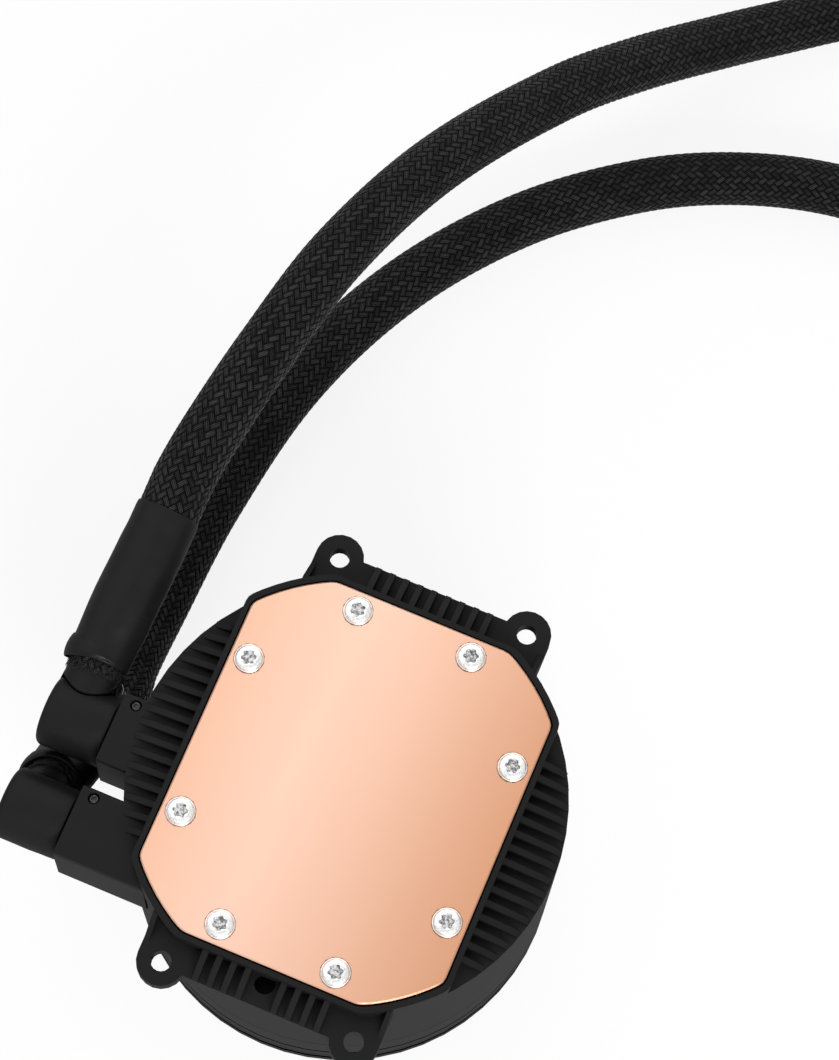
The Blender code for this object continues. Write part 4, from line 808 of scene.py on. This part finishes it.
def make_core(paint, fins):
    """Flat tubes with rounded sides between two header plates, and folded fin strips between the tubes."""
    half_rows = (TUBES - 1) / 2 * TUBE_PITCH
    middle = (CORE_START + CORE_LENGTH / 2, RADIATOR_MIDDLE_Y - half_rows, RADIATOR_HEIGHT)
    deselect()
    bpy.ops.mesh.primitive_cube_add(size=MM, location=tuple(Vector(middle) * MM),
                                    scale=(CORE_LENGTH, TUBE_THICKNESS, CORE_DEPTH))
    tube = drawn("radiator_tubes", paint)
    step = tube.modifiers.new("round sides", "BEVEL")
    step.width = 0.95 * MM
    step.segments = 4
    apply_all(tube)
    bpy.ops.object.shade_smooth_by_angle(angle=math.radians(40))
    tubes = [tube] + [copied(tube, (0, TUBE_PITCH * number, 0)) for number in range(1, TUBES)]
    deselect()
    inset = HEADER_SIZE[0] / 4
    first = Vector((CORE_START + inset, RADIATOR_MIDDLE_Y, RADIATOR_HEIGHT))
    bpy.ops.mesh.primitive_cube_add(size=MM, location=tuple(first * MM), scale=HEADER_SIZE)
    header = rounded_off(drawn("header", paint), 0.35, 2)
    headers = [header, copied(header, (CORE_LENGTH - 2 * inset, 0, 0))]
    settled(joined("radiator_tubes", tubes + headers), "pump", "radiator_paint", "radiator_core")

    deselect()
    bpy.ops.mesh.primitive_grid_add(x_subdivisions=FIN_FOLDS, y_subdivisions=1, size=MM)
    strip = bpy.context.active_object
    low = RADIATOR_MIDDLE_Y - half_rows + TUBE_THICKNESS / 2
    strip.matrix_world = (Matrix.Translation(Vector((middle[0], low, RADIATOR_HEIGHT)) * MM)
                          @ Matrix.Rotation(math.pi / 2, 4, "X")
                          @ Matrix.Diagonal((CORE_LENGTH, FIN_DEPTH, 1, 1)))
    strip = drawn("radiator_fins", fins)
    picked(strip, lambda at: round((at.x / MM - CORE_START) / CORE_LENGTH * FIN_FOLDS) % 2 == 1)
    bpy.ops.transform.translate(value=(0, (TUBE_PITCH - TUBE_THICKNESS) * MM, 0))
    bpy.ops.object.mode_set(mode="OBJECT")
    step = strip.modifiers.new("round folds", "BEVEL")
    step.width = 0.3 * MM
    step.segments = 2
    step.limit_method = "ANGLE"
    step = strip.modifiers.new("sheet", "SOLIDIFY")
    step.thickness = 0.1 * MM
    step.offset = 0.0
    apply_all(strip)
    bpy.ops.object.shade_smooth_by_angle(angle=math.radians(50))
    strips = [strip] + [copied(strip, (0, TUBE_PITCH * number, 0)) for number in range(1, TUBES - 1)]
    settled(joined("radiator_fins", strips), "pump", "radiator_paint", "radiator_core")


def barb_place(side):
    """A barb's own frame: its Y out of the tank, towards the hose."""
    return (Matrix.Translation((RADIATOR_START + BARB_REACH, BARB_PLACES[side], RADIATOR_HEIGHT))
            @ Matrix.Rotation(math.radians(90), 4, "Z"))


def make_barb(side, surface):
    """A radiator barb: hexagon against the tank, stem and two ridges."""
    place = millimetres(barb_place(side) @ Matrix.Rotation(math.radians(-90), 4, "X"))
    stem = lathe(f"barb_stem_{side}", BARB_RINGS, surface, 40, place)
    deselect()
    bpy.ops.mesh.primitive_cylinder_add(vertices=6, radius=NUT_RADIUS * MM, depth=NUT_LENGTH * MM,
                                        location=(0, 0, NUT_MIDDLE * MM))
    nut = rounded_off(drawn(f"barb_nut_{side}", surface, place), 0.35, 3)
    settled(joined(f"barb_{side}", [stem, nut]), "pump", "steel", f"radiator_barb_{side}")


def smooth_line(points, step):
    """Points a step apart on a smooth curve through the given ones, and the curve's length.

    The first and last stretch stay straight."""
    points = [Vector(point) for point in points]
    dense = [points[0]]
    for index in range(1, len(points) - 2):
        before, a, b, after = points[index - 1:index + 3]
        reach = (b - a).length
        slope_a = (b - before).normalized() * reach
        slope_b = (after - a).normalized() * reach
        for number in range(12):
            t = number / 12
            dense.append(a * (2 * t ** 3 - 3 * t ** 2 + 1) + slope_a * (t ** 3 - 2 * t ** 2 + t)
                         + b * (3 * t ** 2 - 2 * t ** 3) + slope_b * (t ** 3 - t ** 2))
    line = np.array([tuple(point) for point in [*dense, points[-2], points[-1]]])
    lengths = np.r_[0.0, np.cumsum(np.linalg.norm(np.diff(line, axis=0), axis=1))]
    count = int(round(lengths[-1] / step))
    places = np.linspace(0.0, lengths[-1], count + 1)
    return np.stack([np.interp(places, lengths, line[:, axis]) for axis in range(3)], 1), lengths[-1]


def ring_frames(line):
    """At each point of a line, two directions across it that turn as little as they can."""
    along = np.gradient(line, axis=0)
    along /= np.linalg.norm(along, axis=1)[:, None]
    side = np.cross(along[0], (0.0, 0.0, 1.0))
    side /= np.linalg.norm(side)
    sides = [side]
    for way in along[1:]:
        side = side - way * (side @ way)
        side /= np.linalg.norm(side)
        sides.append(side)
    sides = np.array(sides)
    return sides, np.cross(along, sides)


def strand_height(first, second):
    """How far the braid's surface stands above its middle, in millimetres, at the two strand coordinates."""

    def ride(phase):
        return np.clip(1.5 * np.cos(2 * math.pi * phase / 4), -1, 1) * RIDE_HEIGHT

    def crown(offset):
        return -CROWN_FALL * np.abs(2 * offset) ** 2.2

    # A corner on the edge between two strands takes the height of the one on top
    top = np.full(first.shape, -1.0)
    for shift in (0.0, 0.499):
        right = np.floor(first + 0.5 - shift)
        left = np.floor(second + 0.5 - shift)
        top = np.maximum(top, ride(second - right - 0.5) + crown(first - right))
        top = np.maximum(top, ride(left - first - 2.5) + crown(second - left))
    return top


def make_braided(name, line, length, start_radius, end_radius, surface):
    """A braided sleeve whose mesh follows its strands, so that every crossing is a small pillow."""
    sides, ups = ring_frames(line)
    rows = int(length / (STRAND_PITCH / 6)) + 1
    around = 3 * STRANDS
    row, column = np.meshgrid(np.arange(rows + 1), np.arange(around), indexing="ij")
    lead = 2 * column + row % 2
    offsets = np.array((-0.5, -0.3, 0.3))  # three rows of corners to a strand, as shares of its width

    def strand(number):
        return number // 3 + offsets[number % 3]

    first, second = strand((row - lead) // 2), strand((row + lead) // 2)
    height = strand_height(first, second) * MM
    place = np.clip((first + second) / 2 * STRAND_PITCH, 0.0, length)
    angle = math.pi * (second - first) / STRANDS
    taper = (end_radius - start_radius) * np.clip(place / length, 0, 1)
    radius = start_radius + taper - WEAVE_SINK + height
    spot = place / length * (len(line) - 1)
    low = np.minimum(spot.astype(int), len(line) - 2)
    share = (spot - low)[..., None]

    def read(values):
        return values[low] * (1 - share) + values[low + 1] * share

    corners = read(line) + radius[..., None] * (read(sides) * np.cos(angle)[..., None]
                                                + read(ups) * np.sin(angle)[..., None])
    row, column = np.meshgrid(np.arange(rows - 1), np.arange(around), indexing="ij")
    odd = row % 2
    right, left = column + odd, column + odd - 1
    faces = np.stack([row * around + column, (row + 1) * around + left % around,
                      (row + 2) * around + column, (row + 1) * around + right % around], -1).reshape(-1, 4)
    mesh = bpy.data.meshes.new(name)
    mesh.from_pydata(corners.reshape(-1, 3).tolist(), [], faces[:, ::-1].tolist())
    weave = mesh.uv_layers.new(name="weave")
    u = (second - first) / 2
    v = (first + second) / 2
    flat_u, flat_v = u.reshape(-1)[faces], v.reshape(-1)[faces]
    middle = flat_u[:, :1]
    flat_u = flat_u + STRANDS * (flat_u < middle - STRANDS / 2) - STRANDS * (flat_u > middle + STRANDS / 2)
    weave.data.foreach_set("uv", np.stack([flat_u[:, ::-1], flat_v[:, ::-1]], -1).ravel())
    mesh.polygons.foreach_set("use_smooth", np.ones(len(faces), bool))
    mesh.materials.append(surface)
    mesh.update()
    return linked(name, mesh)


def make_stage():
    """A plain pale floor that keeps the shadow and looks white, and the lamps."""
    deselect()
    bpy.ops.mesh.primitive_plane_add(size=6.0, location=(0.1, 0.1, -0.0002))
    floor = bpy.context.active_object
    floor.name = "floor"
    paper = Finish("white paper")
    sight = paper.node("LightPath", {}).socket.node.outputs
    seen = Wire(paper, sight["Is Camera Ray"]).high(Wire(paper, sight["Is Glossy Ray"]))
    seen = seen.high(Wire(paper, sight["Is Transmission Ray"]))
    grain = paper.noise(paper.place(), 0.4, 3.0)
    paper.set(Base_Color=paper.mix(grain, (0.86, 0.86, 0.86), (0.9, 0.9, 0.9)), Roughness=0.9,
              Specular_IOR_Level=0.1)
    glow = paper.node("Emission", {}, (1.0, 1.0, 1.0), 1.0)
    blend = paper.node("MixShader", {}, seen * FLOOR_GLOW, Wire(paper, paper.shader.outputs[0]), glow)
    output = paper.tree.nodes["Material Output"]
    paper.tree.links.new(blend.socket, output.inputs["Surface"])
    floor.data.materials.append(paper.material)

    world = bpy.data.worlds.new("studio")
    bpy.context.scene.world = world
    world.use_nodes = True
    tree = world.node_tree
    background = tree.nodes["Background"]
    sight = tree.nodes.new("ShaderNodeLightPath")

    def math_node(operation, a, b):
        made = tree.nodes.new("ShaderNodeMath")
        made.operation = operation
        for socket, value in zip(made.inputs, (a, b)):
            if isinstance(value, float):
                socket.default_value = value
            else:
                tree.links.new(value, socket)
        return made.outputs[0]

    seen = math_node("MAXIMUM", sight.outputs["Is Camera Ray"], sight.outputs["Is Glossy Ray"])
    seen = math_node("MAXIMUM", seen, sight.outputs["Is Transmission Ray"])
    level = math_node("ADD", math_node("MULTIPLY", seen, 1.0 - SKY_LEVEL), SKY_LEVEL)
    tree.links.new(level, background.inputs["Strength"])
    background.inputs["Color"].default_value = (1.0, 1.0, 1.0, 1.0)

    for name, (place, size, power) in LAMPS.items():
        lamp = bpy.data.lights.new(name, "AREA")
        lamp.shape = "SQUARE"
        lamp.size = size
        lamp.energy = power
        item = linked(name, lamp)
        item.location = place
        item.rotation_euler = (LAMPS_AIM - Vector(place)).to_track_quat("-Z", "Y").to_euler()


def refined(name, node, surface, slot, bevel, segments=2, angle=30.0):
    """A copy of a CAD node with whole faces, rounded edges and smooth shading."""
    mesh = NODES[node].data.copy()
    item = only(linked(name, mesh))
    bpy.ops.object.mode_set(mode="EDIT")
    bpy.ops.mesh.select_all(action="SELECT")
    bpy.ops.mesh.remove_doubles(threshold=0.000001)
    bpy.ops.mesh.dissolve_limited(angle_limit=math.radians(0.3))
    bpy.ops.object.mode_set(mode="OBJECT")
    mesh.materials.clear()
    mesh.materials.append(surface)
    rounded_off(item, bevel, segments, angle)
    return settled(item, NODES[node]["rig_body"], slot, node)


def make_hose_ends(side, bend, sleeve, braid, fuzz):
    """The shrink sleeves at a hose's two ends, and the braid and frayed yarn that look out at the elbow."""
    mouth = elbow_place(side) @ Matrix.Translation((-ELBOW_MOUTH, 0, 0))
    collar = make_sleeve_piece(f"shrink_sleeve_{side}", mouth, bend, SLEEVE_OUT, sleeve)
    settled(collar, f"elbow_{side}", "shrink_sleeve", f"hose_collar_{side}")
    neck = mouth @ Matrix.Translation((-NECK_OUT, 0, 0))
    line = np.array([tuple(neck @ Vector((0, along, 0)) * MM) for along in np.linspace(8.1, 11.4, 12)])
    stub = make_braided(f"braid_stub_{side}", line, 0.0033, 0.00505, 0.00515, braid)
    settled(stub, f"elbow_{side}", "braid", f"hose_collar_{side}")
    fray = make_fuzz(f"frayed_yarn_{side}", neck, fuzz, 11 if bend else 7)
    settled(fray, f"elbow_{side}", "braid", f"hose_collar_{side}")
    end = make_sleeve_piece(f"radiator_sleeve_{side}", barb_place(side), False, 0.0, sleeve)
    settled(end, "pump", "shrink_sleeve", f"radiator_collar_{side}")


def main():
    make_camera()
    braid = make_braid()
    for side, points in (("upper", UPPER_HOSE), ("lower", LOWER_HOSE)):
        line, length = smooth_line(points, HOSE_STEP)
        hose = make_braided(f"sleeved_hose_{side}", line, length, *HOSE_RADII[side], braid)
        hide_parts(f"hose_{side}")
        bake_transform(hose)
    make_stage()
    copper = make_copper()
    steel = make_steel()
    dark_steel = make_dark_steel()
    moulding = make_moulding("black moulding", 0.007, 0.011, 0.48)
    trim = make_moulding("dark grey trim", 0.008, 0.012, 0.45, joint_and_crease_shade=drum_seams)
    sleeve = make_sleeve()
    paint = make_moulding("black radiator paint", 0.0075, 0.012, 0.42, 0.03)
    rubber = make_speckled("black rubber", (0.008, 0.008, 0.008), (0.018, 0.018, 0.018), 2.0, 0.6)
    hidden = {
        "stator_core": make_striped("laminated steel", (0.28, 0.28, 0.29), (0.5, 0.5, 0.5), 0.35, "up",
                                    0.35, 0.9),
        "stator_coil": make_striped("enamelled wire", (0.32, 0.09, 0.03), (0.72, 0.28, 0.11), 0.55, "out",
                                    0.22, 0.85),
        "rotor": make_speckled("ferrite", (0.035, 0.035, 0.038), (0.075, 0.075, 0.08), 1.4, 0.45, 0.3),
        "impeller_shaft": make_speckled("white ceramic", (0.72, 0.71, 0.67), (0.84, 0.83, 0.8), 3.0, 0.14,
                                        0.0, 0.004),
        "circuit_board": make_board(),
        "cold_plate_gasket": rubber,
        "elbow_seal": rubber,
        "chamber_cover_screw": steel,
        "radiator_plug": steel,
    }
    for node, item in NODES.items():
        surface = next((finish for start, finish in hidden.items() if node.startswith(start)), moulding)
        item.data.materials.clear()
        item.data.materials.append(surface)
    refined("housing", "pump_housing", moulding, "moulding", 0.12)
    refined("plate", "cold_plate", copper, "copper", 0.08)
    refined("cap_shell", "pump_cap", trim, "trim", 0.15)
    refined("trim_band", "trim_ring", trim, "trim", 0.12)
    refined("plug", "radiator_plug", steel, "steel", 0.15)
    for part in ("tank_front", "tank_rear", "frame_left", "frame_right"):
        refined(part, f"radiator_{part}", paint, "radiator_paint", 0.3, 3)
    make_screws(steel, make_painted_shade_steel())
    make_pins(dark_steel)
    make_core(paint, make_fin_metal())
    fuzz = make_thread("dark yarn", (0.02, 0.02, 0.0205))
    for side in ("upper", "lower"):
        make_elbow(side, moulding)
        make_barb(side, steel)
        make_hose_ends(side, side == "lower", sleeve, braid, fuzz)
    mouth = elbow_place("upper") @ Matrix.Translation((-ELBOW_MOUTH, 0, 0))
    threads = make_white_threads(mouth, make_thread("white yarn", (0.5, 0.49, 0.48)))
    settled(threads, "elbow_upper", "braid", "hose_collar_upper")


main()
